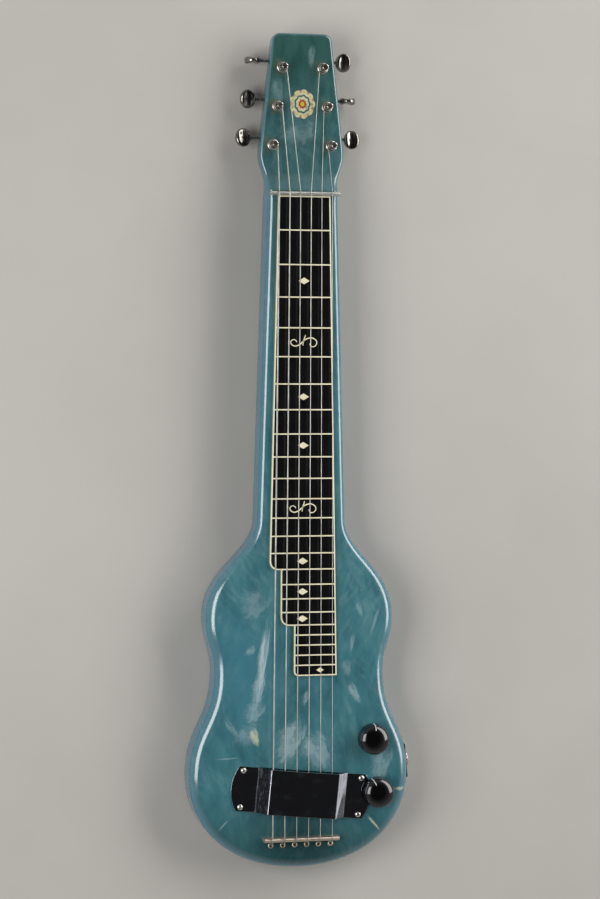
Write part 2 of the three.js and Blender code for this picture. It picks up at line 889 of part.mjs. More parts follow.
function makeBoard() {
  const blackFoot = boardFoot + board.baseLayer;
  const grooveFoot = boardTop - board.groove;
  const base = prism(boardOutline(0), board.baseLayer).translate(0, 0, boardFoot);
  const marks = markGeometries(0, blackFoot - board.baseLayer / 2, boardTop);
  add('fretboard_cream_layer', join(base, ...marks), cream);
  const sheet = prism(boardOutline(0), board.blackLayer).translate(0, 0, blackFoot);
  const cutters = [
    ...markGeometries(mark.fit, blackFoot - overrun, boardTop + overrun),
    lattice(mark.fit, grooveFoot - mark.fit, boardTop + overrun),
  ];
  add('fretboard_black_layer', cut(sheet, ...cutters), black);
  add('fret_line_lattice', lattice(0, grooveFoot, boardTop), cream);
}

// Nut and bridge: bars with a rounded crest

function crestBar({ length, width, height }) {
  const foot = width / 2;
  const profile = new THREE.Shape();
  profile.moveTo(-foot, 0);
  profile.lineTo(foot, 0);
  profile.lineTo(foot, height - foot);
  profile.absarc(0, height - foot, foot, 0, Math.PI, false);
  const run = { depth: length, bevelEnabled: false, curveSegments: crestSteps };
  return new THREE.ExtrudeGeometry(profile, run)
    .translate(0, 0, -length / 2)
    .rotateX(Math.PI / 2)
    .rotateZ(Math.PI / 2);
}

function makeBars() {
  add('nut', crestBar(nut), nickel, 0, along(scaleLength), faceTop);
  add('bridge', crestBar(bridge), nickel, 0, along(0), faceTop);
}

// Eyelets

function makeEyelets() {
  const { flange, flangeHeight, sleeve, length, bore } = eyelet;
  const profile = [
    [bore, -length],
    [sleeve, -length],
    [sleeve, 0],
    [flange, 0],
    [(flange + bore) / 2, flangeHeight],
    [bore, flangeHeight],
    [bore, -length],
  ];
  for (const i of stringIndices) {
    const x = stringAcross(i, strings.bridgeSpan);
    add(`string_eyelet_${i + 1}`, turned(profile, smallSides), brass, x, anchorY, faceTop);
  }
}

// Strings: one tube each, from the ball end through its eyelet, over bridge and nut, and round its post

function postWinding(place, i) {
  const points = [];
  const radius = tuner.post + clearance + gaugeOf(i) / 2;
  const low = headFace + tuner.bushingHeight + gaugeOf(i);
  const steps = stepsPerTurn * stringTurns;
  const start = place.side < 0 ? 0 : Math.PI;
  for (let step = 0; step <= steps; step += 1) {
    const turns = step / stepsPerTurn;
    const angle = start - place.side * 2 * Math.PI * turns;
    points.push(new THREE.Vector3(
      place.x + radius * Math.cos(angle),
      place.y + radius * Math.sin(angle),
      low + strings.turnPitch * turns,
    ));
  }
  return points;
}

function stringPath(i) {
  const radius = gaugeOf(i) / 2;
  const low = new THREE.Vector3(stringAcross(i, strings.bridgeSpan), anchorY, 0);
  const nutX = stringAcross(i, strings.nutSpan);
  const crest = faceTop + bridge.height + strings.seatGap + radius;
  const nutCrest = faceTop + nut.height + strings.seatGap + radius;
  const bend = strings.bendRadius;
  const winding = postWinding(tunerPlaces[i], i);
  const bridgeBack = along(-bridge.width / 2);
  const nutBack = along(scaleLength + nut.width / 2);
  const rise = new THREE.Vector3(low.x, bridgeBack - radius - strings.seatGap, crest - bend);
  return [
    new THREE.Vector3(low.x, low.y, skin.thickness + strings.ballLength / 2),
    new THREE.Vector3(low.x, low.y, faceTop),
    new THREE.Vector3(low.x, low.y + bend / 4, faceTop + bend),
    rise,
    new THREE.Vector3(low.x, along(-bridge.width / 4), crest),
    new THREE.Vector3(low.x, along(0), crest),
    new THREE.Vector3(nutX, along(scaleLength), nutCrest),
    new THREE.Vector3(nutX, nutBack, nutCrest - radius),
    ...winding,
  ];
}

// The least free gap between turns of one winding, measured on its points.
function leastTurnGap(points, diameter) {
  let least = Infinity;
  points.forEach((point, i) => {
    for (const other of points.slice(i + stepsPerTurn / 2)) {
      least = Math.min(least, point.distanceTo(other) - diameter);
    }
  });
  return least;
}

function makeStrings() {
  for (const i of stringIndices) {
    const radius = gaugeOf(i) / 2;
    const line = tube(stringPath(i), radius, pinSides);
    const ball = upright(strings.ball, strings.ballLength, smallSides)
      .translate(stringAcross(i, strings.bridgeSpan), anchorY, skin.thickness);
    add(`string_${i + 1}`, join(line, ball), steel);
    const gap = leastTurnGap(postWinding(tunerPlaces[i], i), 2 * radius);
    console.log(`string ${i + 1}: least gap between turns ${gap.toFixed(2)} mm`);
  }
}

// Tuners, made for the treble side with the post on the axis Z, and mirrored for the bass side

const wormOffset = tuner.gearPitch + tuner.wormPitch;
const wormLead = (2 * Math.PI * tuner.gearPitch) / gearTeeth;
const toothTwist = (tuner.gearHeight * wormLead) / (2 * Math.PI * tuner.wormPitch) / tuner.gearPitch;
const toothShares = [[-0.25, 0], [0, 1], [0.25, 0]];
const ridgeShares = [[0.25, 0], [0, 1], [-0.25, 0]];
const threadEndShare = 0.6;
const threadStepsPerTurn = 8;
const buttonShares = [
  [-1, -0.75], [-0.2, -0.5], [0.9, -1], [1, -0.9],
  [1, 0.9], [0.9, 1], [-0.2, 0.5], [-1, 0.75],
];

// The worm wheel, whose teeth lean along its height as the worm's thread does.
function gear() {
  const layer = (twist, height) => {
    const points = [];
    for (let tooth = 0; tooth < gearTeeth; tooth += 1) {
      for (const [pitchShare, rise] of toothShares) {
        const angle = Math.PI / 2 + ((tooth + 0.5 + pitchShare) / gearTeeth) * 2 * Math.PI + twist;
        const radius = share(tuner.gearRoot, tuner.gearTip, rise);
        points.push(new THREE.Vector3(radius * Math.cos(angle), radius * Math.sin(angle), height));
      }
    }
    return points;
  };
  const halfHeight = tuner.gearHeight / 2;
  const rings = [layer(-toothTwist / 2, -halfHeight), layer(toothTwist / 2, halfHeight)];
  const flat = rings[0].map(({ x, y }) => new THREE.Vector2(x, y));
  return stack(rings, THREE.ShapeUtils.triangulateShape(flat, []));
}

// The worm's thread. Its ridge faces the wheel, between two teeth, in the middle of its length.
function thread() {
  const steps = Math.round(threadStepsPerTurn * ((2 * tuner.wormHalf) / wormLead - threadEndShare));
  const buried = tuner.wormRoot - clearance;
  const rings = [];
  for (let step = 0; step <= steps; step += 1) {
    const turns = (step - steps / 2) / threadStepsPerTurn;
    const angle = Math.PI + 2 * Math.PI * turns;
    rings.push(ridgeShares.map(([pitchShare, rise]) => {
      const radius = share(buried, tuner.wormTip, rise);
      const x = (turns + pitchShare) * wormLead;
      return new THREE.Vector3(x, radius * Math.cos(angle), radius * Math.sin(angle));
    }));
  }
  return stack(rings, fan(ridgeShares.length));
}

// A button on the stem's axis: waisted seen from its edge, oval seen from its face.
function buttonGeometry() {
  const { buttonHalf, buttonReach, buttonEnd } = tuner;
  const waisted = buttonShares.map(([out, up]) => new THREE.Vector2(out * buttonHalf, up * buttonEnd));
  const slab = prism(waisted, 2 * buttonReach).translate(0, 0, -buttonReach).rotateX(Math.PI / 2);
  const oval = upright(buttonReach, 2 * buttonEnd + 2 * overrun)
    .translate(0, 0, -buttonEnd - overrun)
    .scale(buttonHalf / buttonReach, 1, 1);
  return common(slab, oval).translate(tuner.buttonCentre, 0, 0);
}

function keyGeometry(buttonTurn) {
  const lugOuter = tuner.wormHalf + 2 * clearance + tuner.lug;
  const shaftHalf = lugOuter + tuner.collarLength;
  const stemEnd = tuner.buttonCentre - tuner.buttonHalf + tuner.stem;
  const spindle = turned([
    [0, -shaftHalf],
    [tuner.shaft, -shaftHalf],
    [tuner.shaft, -tuner.wormHalf],
    [tuner.wormRoot, -tuner.wormHalf],
    [tuner.wormRoot, tuner.wormHalf],
    [tuner.shaft, tuner.wormHalf],
    [tuner.shaft, lugOuter],
    [tuner.collar, lugOuter],
    [tuner.collar, shaftHalf],
    [tuner.stem, shaftHalf],
    [tuner.stem, stemEnd],
    [0, stemEnd],
  ], pinSides).rotateY(Math.PI / 2);
  return join(spindle, thread(), buttonGeometry().rotateX(buttonTurn));
}

function postGeometry() {
  const gearTop = wormHeight + tuner.gearHeight / 2;
  const gearFoot = wormHeight - tuner.gearHeight / 2;
  const top = headFace + tuner.postAbove;
  const rounding = tuner.post / 4;
  const profile = [
    [0, gearFoot - tuner.gearCapHeight],
    [tuner.gearCap, gearFoot - tuner.gearCapHeight],
    [tuner.gearCap, (gearFoot + gearTop) / 2],
    [tuner.shoulder, (gearFoot + gearTop) / 2],
    [tuner.shoulder, plateBottom - clearance],
    [tuner.post, plateBottom - clearance],
    [tuner.post, top - rounding],
    [tuner.post - rounding, top],
    [0, top],
  ];
  const post = turned(profile, smallSides);
  const hole = lying(tuner.stringHole, 4 * tuner.post, pinSides)
    .translate(-2 * tuner.post, 0, top - tuner.stringHoleDown);
  return cut(join(post, gear().translate(0, 0, wormHeight)), hole);
}

function bushingGeometry() {
  const bore = tuner.post + clearance;
  const sleeve = bore + tuner.bushingWall;
  return turned([
    [bore, -tuner.bushingLength],
    [sleeve, -tuner.bushingLength],
    [sleeve, 0],
    [tuner.bushingFlange, 0],
    [tuner.bushingFlange - tuner.bushingHeight / 2, tuner.bushingHeight],
    [bore, tuner.bushingHeight],
    [bore, -tuner.bushingLength],
  ], smallSides);
}

// A plate that carries the three tuners of one side, with two bearing lugs for each worm shaft.
function plateGeometry(side) {
  const places = tunerPlaces.filter((place) => place.side === side);
  places.sort((a, b) => a.y - b.y);
  const [low, high] = [places[0], places.at(-1)];
  const edge = (place, reach, offset) => [place.x + offset, place.y + reach, 2 * clearance];
  const outline = roundedOutline([
    edge(low, -tuner.plateEnd, -tuner.plateHalf),
    edge(low, -tuner.plateEnd, tuner.plateHalf),
    edge(high, tuner.plateEnd, tuner.plateHalf),
    edge(high, tuner.plateEnd, -tuner.plateHalf),
  ], plateCornerSteps);
  const plate = prism(outline, tuner.plate).translate(0, 0, plateBottom);
  const lugs = [];
  const holes = [];
  const lugCentre = tuner.wormHalf + clearance + tuner.lug / 2;
  for (const { x, y } of places) {
    for (const end of [-1, 1]) {
      lugs.push(block(tuner.lug, 2 * tuner.lugReach, tuner.lugDrop + tuner.plate / 2)
        .translate(x + end * lugCentre, y + wormOffset, plateBottom - tuner.lugDrop));
    }
    holes.push(lying(tuner.shaft + clearance, 4 * lugCentre)
      .translate(x - 2 * lugCentre, y + wormOffset, wormHeight));
    holes.push(pillar(x, y, tuner.post + clearance, plateBottom - overrun, headBack + overrun));
  }
  return cut(join(plate, ...lugs), ...holes);
}

function makeTuners() {
  const post = postGeometry();
  const bushing = bushingGeometry();
  tunerPlaces.forEach(({ side, x, y }, i) => {
    const handed = (geometry) => (side < 0 ? mirrored(geometry) : geometry);
    const key = handed(keyGeometry(buttonTurns[i]));
    add(`tuner_key_${i + 1}`, key, nickel, x, y + wormOffset, wormHeight);
    add(`tuner_post_${i + 1}`, handed(post), nickel, x, y, 0);
    add(`tuner_bushing_${i + 1}`, bushing, nickel, x, y, headFace);
  });
  add('tuner_plate_bass', plateGeometry(-1), nickel);
  add('tuner_plate_treble', plateGeometry(1), nickel);
}

// Pickup, its cover and screws

function coverGeometry() {
  const wingEnd = new THREE.Shape();
  const reach = cover.width / 2;
  const swing = (reach ** 2 + cover.bulge ** 2) / (2 * cover.bulge);
  const sweep = Math.asin(reach / swing);
  const centre = cover.wing + cover.bulge - swing;
  wingEnd.moveTo(-cover.wing, -reach);
  wingEnd.lineTo(cover.wing, -reach);
  wingEnd.absarc(centre, 0, swing, -sweep, sweep, false);
  wingEnd.lineTo(-cover.wing, reach);
  wingEnd.absarc(-centre, 0, swing, Math.PI - sweep, Math.PI + sweep, false);
  const plan = new THREE.ExtrudeGeometry(wingEnd, {
    depth: cover.rise + 2 * cover.plate,
    bevelEnabled: false,
    curveSegments: coverArcSteps,
  });
  const { crest, foot, rise, plate } = cover;
  const end = cover.wing + cover.bulge + overrun;
  const lean = plate * Math.tan(Math.atan2(rise, foot - crest) / 2);
  const profile = [
    [-end, 0], [-foot, 0], [-crest + lean, rise], [crest - lean, rise], [foot, 0], [end, 0],
    [end, plate], [foot - lean, plate], [crest, rise + plate],
    [-crest, rise + plate], [-foot + lean, plate], [-end, plate],
  ].map((point) => new THREE.Vector2(...point));
  const fold = prism(profile, cover.width + 2 * overrun)
    .translate(0, 0, -reach - overrun)
    .rotateX(Math.PI / 2);
  const holes = coverScrewOffsets.map(([x, y]) => pillar(
    x,
    y,
    screw.shank + clearance,
    -overrun,
    plate + overrun,
  ));
  return cut(common(plan, fold), ...holes).rotateZ(coverTurn);
}

function slottedScrew() {
  const blank = turned([
    [0, -screw.length + screw.shank],
    [screw.shank, -screw.length + 2 * screw.shank],
    [screw.shank, 0],
    [screw.head, 0],
    [screw.head / 2, screw.headHeight],
    [0, screw.headHeight],
  ], smallSides);
  const slot = block(3 * screw.head, screw.slot, screw.headHeight)
    .translate(0, 0, screw.headHeight - screw.slotDepth);
  return cut(blank, slot);
}

function makePickup() {
  const y = along(cover.centreAt);
  add('pickup_cover', coverGeometry(), chrome, 0, y, faceTop);
  const floor = body.depth - pickup.pocketDepth;
  const { coilHalf, coilReach, coilHeight, magnetHalf, magnetReach, magnetHeight } = pickup;
  const coil = prism(roundedBox(coilHalf, coilReach, coilReach - clearance), coilHeight);
  const core = block(
    2 * (magnetHalf + clearance),
    2 * (magnetReach + clearance),
    coilHeight + 2 * overrun,
  ).translate(0, 0, -overrun);
  add('pickup_coil', cut(coil, core).rotateZ(coverTurn), copper, 0, y, floor);
  const magnet = block(2 * magnetHalf, 2 * magnetReach, magnetHeight);
  add('pickup_magnet', magnet.rotateZ(coverTurn), steel, 0, y, floor);
  coverScrewPlaces.forEach((place, i) => {
    add(`cover_screw_${i + 1}`, slottedScrew(), steel, place.x, place.y, faceTop + cover.plate);
  });
}

// Controls: knobs on their pots, the capacitor and the pickup's lead

const domeShares = [0.35, 0.7];
const leadBendShare = 0.3;

function knobGeometry() {
  const shaftFoot = pocketRoof - pot.canHeight + pot.floor + pot.runningGap - faceTop - knobLift;
  const domeRise = knob.height - knob.sideHeight;
  const dome = domeShares.map((t) => [
    knob.shoulder * Math.cos((Math.PI / 2) * t),
    knob.sideHeight + domeRise * Math.sin((Math.PI / 2) * t),
  ]);
  return turned([
    [0, shaftFoot],
    [knob.shaft, shaftFoot],
    [knob.shaft, knob.recessHeight],
    [knob.recess, knob.recessHeight],
    [knob.recess, 0],
    [knob.radius, 0],
    [knob.shoulder, knob.sideHeight],
    ...dome,
    [0, knob.height],
  ], knobSides);
}

function potGeometry() {
  const bore = knob.shaft + pot.runningGap;
  const nutTop = faceTop + clearance + pot.nutHeight;
  const roof = pocketRoof - clearance;
  return turned([
    [0, pocketRoof - pot.canHeight],
    [pot.can, pocketRoof - pot.canHeight],
    [pot.can, roof],
    [pot.bushing, roof],
    [pot.bushing, faceTop + clearance],
    [pot.nut, faceTop + clearance],
    [pot.nut, nutTop],
    [bore, nutTop],
    [bore, pocketRoof - pot.canHeight + pot.floor],
    [0, pocketRoof - pot.canHeight + pot.floor],
  ]);
}

function makeControls() {
  for (const [name, place] of Object.entries(knobPlaces)) {
    const y = along(place.at);
    add(`${name}_knob`, knobGeometry(), bakelite, place.across, y, faceTop + knobLift);
    add(`${name}_pot`, potGeometry(), nickel, place.across, y, 0);
  }
  const tone = knobPlaces.tone;
  const gapToCan = pot.can + capacitor.radius + clearance;
  const capacitorFoot = pocketRoof - clearance - capacitor.height;
  const can = upright(capacitor.radius, capacitor.height, smallSides);
  add('tone_capacitor', can, brass, tone.across, along(tone.at) + gapToCan, capacitorFoot);

  const volume = knobPlaces.volume;
  const startY = along(cover.centreAt);
  const endY = along(volume.at);
  const canEdge = volume.across - pot.can - leadRadius - clearance;
  const route = [
    [pickup.coilHalf + clearance + leadRadius, startY],
    [pocketNear, startY],
    [canEdge, share(startY, endY, leadBendShare)],
    [canEdge, endY],
  ].map(([x, y]) => new THREE.Vector3(x, y, leadHeight));
  add('pickup_lead', tube(route, leadRadius, pinSides), black);
}

// Cover plate over the control pocket

function makePocketCover() {
  const halfWidth = pocketHalf + controlPocket.sideLedge;
  const halfLength = pocketReach + controlPocket.screwLedge;
  const plate = prism(roundedBox(halfWidth, halfLength, controlPocket.corner), pocketCover.thickness)
    .translate(pocketCentre.x, pocketCentre.y, pocketCover.sunk);
  const through = pocketCover.sunk + pocketCover.thickness + overrun;
  const seat = pocketCover.sunk + flatScrew.headHeight + clearance;
  const holes = pocketScrewPlaces.flatMap(({ x, y }) => [
    pillar(x, y, flatScrew.shank + clearance, -overrun, through),
    pillar(x, y, flatScrew.head + clearance, -overrun, seat),
  ]);
  add('control_pocket_cover', cut(plate, ...holes), black);
  pocketScrewPlaces.forEach(({ x, y }, i) => {
    const shape = turned([
      [0, 0],
      [flatScrew.head, 0],
      [flatScrew.head, flatScrew.headHeight],
      [flatScrew.shank, flatScrew.headHeight],
      [flatScrew.shank, flatScrew.length - flatScrew.shank],
      [0, flatScrew.length],
    ], smallSides);
    add(`pocket_cover_screw_${i + 1}`, shape, steel, x, y, pocketCover.sunk);
  });
}

// Output jack on its plate

function makeJack() {
  const plate = block(jack.plate, jack.plateLength, jack.plateHeight)
    .translate(jackFace + jack.plate / 2, 0, -jack.plateHeight / 2);
  const outside = jackFace + jack.plate;
  const hole = (radius, y, sides) => lying(radius + clearance, 4 * jack.plate, sides)
    .translate(-2 * jack.plate, y, 0);
  const screwHoles = [-1, 1].map((side) => hole(screw.shank, side * jack.screwAlong, smallSides));
  add('jack_plate', atJack(cut(plate, hole(jack.bushing, 0, roundSides), ...screwHoles)), chrome);

  const nutFace = outside + clearance + jack.nutHeight;
  const flangeFace = jackFace - clearance;
  const tail = flangeFace - jack.barrelLength;
  const socket = turned([
    [jack.bore, nutFace],
    [jack.bore, tail],
    [jack.barrel, tail],
    [jack.barrel, flangeFace - jack.barrelWall],
    [jack.flange, flangeFace - jack.barrelWall],
    [jack.flange, flangeFace],
    [jack.bushing, flangeFace],
    [jack.bushing, outside + clearance],
    [jack.nut, outside + clearance],
    [jack.nut, nutFace],
    [jack.bore, nutFace],
  ]).rotateY(Math.PI / 2);
  add('output_jack', atJack(socket), nickel);

  [-1, 1].forEach((side, i) => {
    const fastener = slottedScrew().rotateY(Math.PI / 2).translate(outside, side * jack.screwAlong, 0);
    add(`jack_plate_screw_${i + 1}`, atJack(fastener), steel);
  });
}

makeBody();
makeBoard();
makeBars();
makeEyelets();
makeStrings();
makeTuners();
makePickup();
makeControls();
makePocketCover();
makeJack();

export default group;
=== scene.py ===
"""Looks of a lap steel guitar: a plank in blue pearl sheet, and what is fixed to it.

Shapes are drawn in millimetres and brought to metres when a piece is settled. X runs to the treble
side, Y to the head and Z out of the playing face, from an origin on the back, under the waist.
"at" is a place along the guitar from the bridge line, and "past" one from the nut's line on.
"""

import math
from types import SimpleNamespace as Sizes

import bmesh
import bpy
from mathutils import Matrix, Vector


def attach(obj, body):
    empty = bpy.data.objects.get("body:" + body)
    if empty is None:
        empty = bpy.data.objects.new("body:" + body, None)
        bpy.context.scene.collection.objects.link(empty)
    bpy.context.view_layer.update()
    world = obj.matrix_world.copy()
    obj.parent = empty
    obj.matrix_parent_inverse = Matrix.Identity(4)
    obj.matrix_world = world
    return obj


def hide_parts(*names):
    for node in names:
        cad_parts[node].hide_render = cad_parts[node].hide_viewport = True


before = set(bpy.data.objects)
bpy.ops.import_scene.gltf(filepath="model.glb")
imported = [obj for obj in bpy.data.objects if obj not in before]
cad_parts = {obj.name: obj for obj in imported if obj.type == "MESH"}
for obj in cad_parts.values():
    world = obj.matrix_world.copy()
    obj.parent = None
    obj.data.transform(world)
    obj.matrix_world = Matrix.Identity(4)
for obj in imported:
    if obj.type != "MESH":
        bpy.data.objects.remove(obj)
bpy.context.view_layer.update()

# Sizes

MM = 0.001
FULL = 2 * math.pi
CLEAR = 0.3
OVERRUN = 2
CORNER_STEPS = 8
SCALE_LENGTH = 571.5
STRINGS = range(6)
PER_SIDE = len(STRINGS) // 2

plank = Sizes(
    depth=36, tail=27.2, lower=99.6, lower_at=56, waist=76.9, waist_at=147,
    upper=85, upper_at=197, heel=39.8, heel_at=284, front_edge=10, back_edge=6,
)
neck = Sizes(throat=31.5, throat_past=3, front_edge=6, back_edge=12)
head = Sizes(
    flare=38.1, flare_past=34.5, shoulder=27.3, shoulder_past=132.5, crown=19, tip_past=141.5,
    drop=8, scoop=18, volute=26, thickness=14, edge=3,
)
skin = Sizes(thickness=1, flat=0.8)
board = Sizes(
    base=0.8, black=1.4, nut_half=23.4, end_half=31.6, line=1.1, groove=0.7,
    first_step=19.5, second_step=7.2, corner=8.8, close_fret=8.96, proud=0.05,
    overlap=0.02, first_fret=15, second_fret=19, last_fret=24,
)
mark = Sizes(half=5, reach=3, scroll_half=12, scroll_reach=4, scroll_line=1.05)
nut = Sizes(length=62.4, width=3.4, height=7.5)
bridge = Sizes(length=68, width=3.7, height=7.5)
string = Sizes(
    nut_span=48, bridge_span=54.4, heaviest=1.4, seat=0.12, anchor_behind=5.5,
    ball=1.9, ball_length=3, pitch=2, turns=1.5, bend=1.6, steps_per_turn=42,
    ball_bore=9, ball_bore_below=4,
)
GAUGE_SHARES = (1, 0.8, 0.66, 0.52, 0.42, 0.36)
WOUND_STRINGS = 3
eyelet = Sizes(flange=2.5, height=0.8, sleeve=2, length=8, bore=1.35)
cover = Sizes(
    centre_at=41.1, width=40, crest=31, foot=40.7, wing=57.7, bulge=5.9, rise=11.5, plate=1.2,
    screw_along=54, screw_across=16.3, turn=math.radians(-5.5),
)
pickup = Sizes(pocket_half=36, pocket_reach=15.5, pocket_depth=18)
screw = Sizes(head=2.5, height=1.5, shank=1.3, slot=0.7, slot_depth=0.6)
knob = Sizes(
    radius=14, shoulder=13.2, side=8, height=13.5, recess=6.7, recess_height=3, shaft=3,
    shaft_below=13.75, pointer_width=0.7, pointer_depth=0.32,
)
pot = Sizes(bushing=4.6)
pocket = Sizes(inner=9.5, outer=2.8, tail=6.4, head=1.8, corner=8, side=4, end=7, can=7.5)
pocket_cover = Sizes(thickness=1.5, sunk=0.3)
flat_screw = Sizes(head=2.6, height=0.9, shank=1.2, length=9)
jack = Sizes(
    at=65, height=16, length=32, width=18, plate=1.2, seat=0.6, hole=9, bushing=4.8, bore=3.3,
    nut=6.6, nut_height=2.2, flange=7.5, barrel=6.6, barrel_length=12, wall=1.2, screw_along=12.6,
    hole_length=20, hole_depth=14,
)
tuner = Sizes(
    first_past=43, pitch=34.1, first_half=26.5, last_half=18.3, post=2.7, hole=4.2, above=12.4,
    string_hole=1, string_hole_down=4.2, flange=5, flange_height=1.2, wall=0.7, sleeve=8,
    plate=1.2, plate_half=6.5, plate_end=12, gear_pitch=5.25, gear_tip=5.55, gear_root=4.5,
    gear_height=4.4, cap=2.6, cap_height=1.2, shoulder=3.7, worm_pitch=2, worm_root=1.45,
    worm_tip=2.5, worm_half=3.3, axis_below=3.3, lug=1.2, lug_reach=2.7, lug_drop=6.2,
    shaft=1.25, collar=2.1, collar_length=1.1, stem=1.6, button_at=23, button_half=7,
    button_reach=8.4, button_end=3.3, teeth=14,
)
BUTTON_TURNS = (-10, 12, 90, 15, 90, -6)
rosette = Sizes(half=11.5, reach=13, past=79.3, thickness=0.12, petals=9, scallop=0.035)

FACE_TOP = plank.depth
HEAD_FACE = plank.depth - head.drop
HEAD_BACK = HEAD_FACE - head.thickness
BOARD_TOP = FACE_TOP + board.base + board.black
PLATE_BOTTOM = HEAD_BACK - tuner.plate
WORM_HEIGHT = PLATE_BOTTOM - tuner.axis_below
WORM_OFFSET = tuner.gear_pitch + tuner.worm_pitch
WORM_LEAD = FULL * tuner.gear_pitch / tuner.teeth
FACE_BORE = 12
HEAD_BORE = 30
BACK_BORE = 40
THROAT_AT = SCALE_LENGTH + neck.throat_past
FLARE_AT = SCALE_LENGTH + head.flare_past
SHOULDER_AT = SCALE_LENGTH + head.shoulder_past
TIP_AT = SCALE_LENGTH + head.tip_past


def along(at):
    return at - plank.waist_at


def share(low, high, amount):
    return low + (high - low) * amount


def part_of(value, low, high):
    """How far a value lies between two others, kept from 0 to 1."""
    return min(max((value - low) / (high - low), 0), 1)


def smooth(amount):
    return amount * amount * (3 - 2 * amount)


ANCHOR_Y = along(-string.anchor_behind)
ROSETTE_Y = along(SCALE_LENGTH + rosette.past)
KNOB_LIFT = cover.plate + screw.height + CLEAR
knob_places = {
    "volume": Vector((share(cover.wing, plank.lower, 0.174), along(87.7), FACE_TOP + KNOB_LIFT)),
    "tone": Vector((share(cover.wing, plank.lower, 0.286), along(39.9), FACE_TOP + KNOB_LIFT)),
}


def string_across(i, span):
    return span * (i / (len(STRINGS) - 1) - 0.5)


def gauge(i):
    return string.heaviest * GAUGE_SHARES[i]


def anchor(i):
    """X and Y of the hole where a string goes down into the body."""
    return string_across(i, string.bridge_span), ANCHOR_Y


def tuner_place(i):
    """Side (-1 bass, 1 treble), X and Y of a post."""
    side, row = (-1, i) if i < PER_SIDE else (1, len(STRINGS) - 1 - i)
    across = side * share(tuner.first_half, tuner.last_half, row / (PER_SIDE - 1))
    return side, across, along(SCALE_LENGTH + tuner.first_past + tuner.pitch * row)


def posts_on(side):
    """Places of one side's posts, from the nut to the tip."""
    places = [tuner_place(i) for i in STRINGS]
    return sorted((place[1:] for place in places if place[0] == side), key=lambda place: place[1])


# Blender helpers


def drawn(points, closed=True):
    """A new mesh that holds one line of edges through points."""
    bm = bmesh.new()
    corners = [bm.verts.new(point) for point in points]
    pairs = list(zip(corners, corners[1:]))
    if closed:
        pairs.append((corners[-1], corners[0]))
    for pair in pairs:
        bm.edges.new(pair)
    return bm


def corners_in(geom):
    return [part for part in geom if isinstance(part, bmesh.types.BMVert)]


def faces_in(geom):
    return [part for part in geom if isinstance(part, bmesh.types.BMFace)]


def pushed(bm, faces, vector):
    """Extrudes faces along a vector, as a closed solid."""
    raised = bmesh.ops.extrude_face_region(bm, geom=faces)["geom"]
    bmesh.ops.translate(bm, vec=vector, verts=corners_in(raised))
    bmesh.ops.recalc_face_normals(bm, faces=bm.faces)
    return bm


def sheet(outlines, foot, top):
    """A flat sheet from its edge outline and those of its windows."""
    bm = bmesh.new()
    edges = []
    for outline in outlines:
        corners = [bm.verts.new((point[0], point[1], foot)) for point in outline]
        edges += [bm.edges.new(pair) for pair in zip(corners, corners[1:] + corners[:1])]
    filled = bmesh.ops.triangle_fill(bm, use_beauty=True, use_dissolve=False, edges=edges)["geom"]
    return pushed(bm, faces_in(filled), (0, 0, top - foot))


def turned(profile, sides=48, closed=False):
    """Turns a profile of (radius, height) corners round Z."""
    bm = drawn([(radius, 0, height) for radius, height in profile], closed)
    bmesh.ops.spin(
        bm, geom=bm.verts[:] + bm.edges[:], cent=(0, 0, 0), axis=(0, 0, 1),
        angle=FULL, steps=sides, use_merge=True,
    )
    bmesh.ops.remove_doubles(bm, verts=bm.verts, dist=1e-4)
    bmesh.ops.recalc_face_normals(bm, faces=bm.faces)
    return bm


def block(width, length, height):
    """A block centred on X and Y, standing on z = 0."""
    bm = bmesh.new()
    bmesh.ops.create_cube(bm, size=1)
    bmesh.ops.scale(bm, vec=(width, length, height), verts=bm.verts)
    bmesh.ops.translate(bm, vec=(0, 0, height / 2), verts=bm.verts)
    return bm


def bar(radius, height, sides=40):
    """A round bar standing on z = 0."""
    return turned([(0, 0), (radius, 0), (radius, height), (0, height)], sides)


def moved(bm, vector):
    bmesh.ops.translate(bm, vec=vector, verts=bm.verts)
    return bm


def rotated(bm, angle, axis):
    bmesh.ops.rotate(bm, cent=(0, 0, 0), matrix=Matrix.Rotation(angle, 3, axis), verts=bm.verts)
    return bm


def flipped(bm):
    """The mirror image across X, with its faces still pointing out."""
    bmesh.ops.scale(bm, vec=(-1, 1, 1), verts=bm.verts)
    bmesh.ops.reverse_faces(bm, faces=bm.faces)
    return bm


def together(*parts):
    """One mesh that holds several, which are used up."""
    whole = bmesh.new()
    for part in parts:
        carrier = bpy.data.meshes.new("carrier")
        part.to_mesh(carrier)
        part.free()
        whole.from_mesh(carrier)
        bpy.data.meshes.remove(carrier)
    return whole


def carved(base, tool, operation="DIFFERENCE"):
    """Cuts one solid with another, both used up, and gives back the result."""
    blanks = []
    for shape in (base, tool):
        blanks.append(bpy.data.objects.new("blank", bpy.data.meshes.new("blank")))
        shape.to_mesh(blanks[-1].data)
        shape.free()
        bpy.context.collection.objects.link(blanks[-1])
    change = blanks[0].modifiers.new("cut", "BOOLEAN")
    change.operation = operation
    change.solver = "EXACT"
    change.object = blanks[1]
    result = bmesh.new()
    result.from_object(blanks[0], bpy.context.evaluated_depsgraph_get())
    for blank in blanks:
        mesh = blank.data
        bpy.data.objects.remove(blank)
        bpy.data.meshes.remove(mesh)
    return result


def eased(bm, width, segments, least):
    """Rounds every edge that is sharper than an angle."""
    sharp = [e for e in bm.edges if e.is_manifold and e.calc_face_angle() > math.radians(least)]
    bmesh.ops.bevel(
        bm, geom=sharp, offset=width, offset_type="OFFSET", affect="EDGES", segments=segments,
        profile=0.5, material=-1, clamp_overlap=True,
    )
    return bm


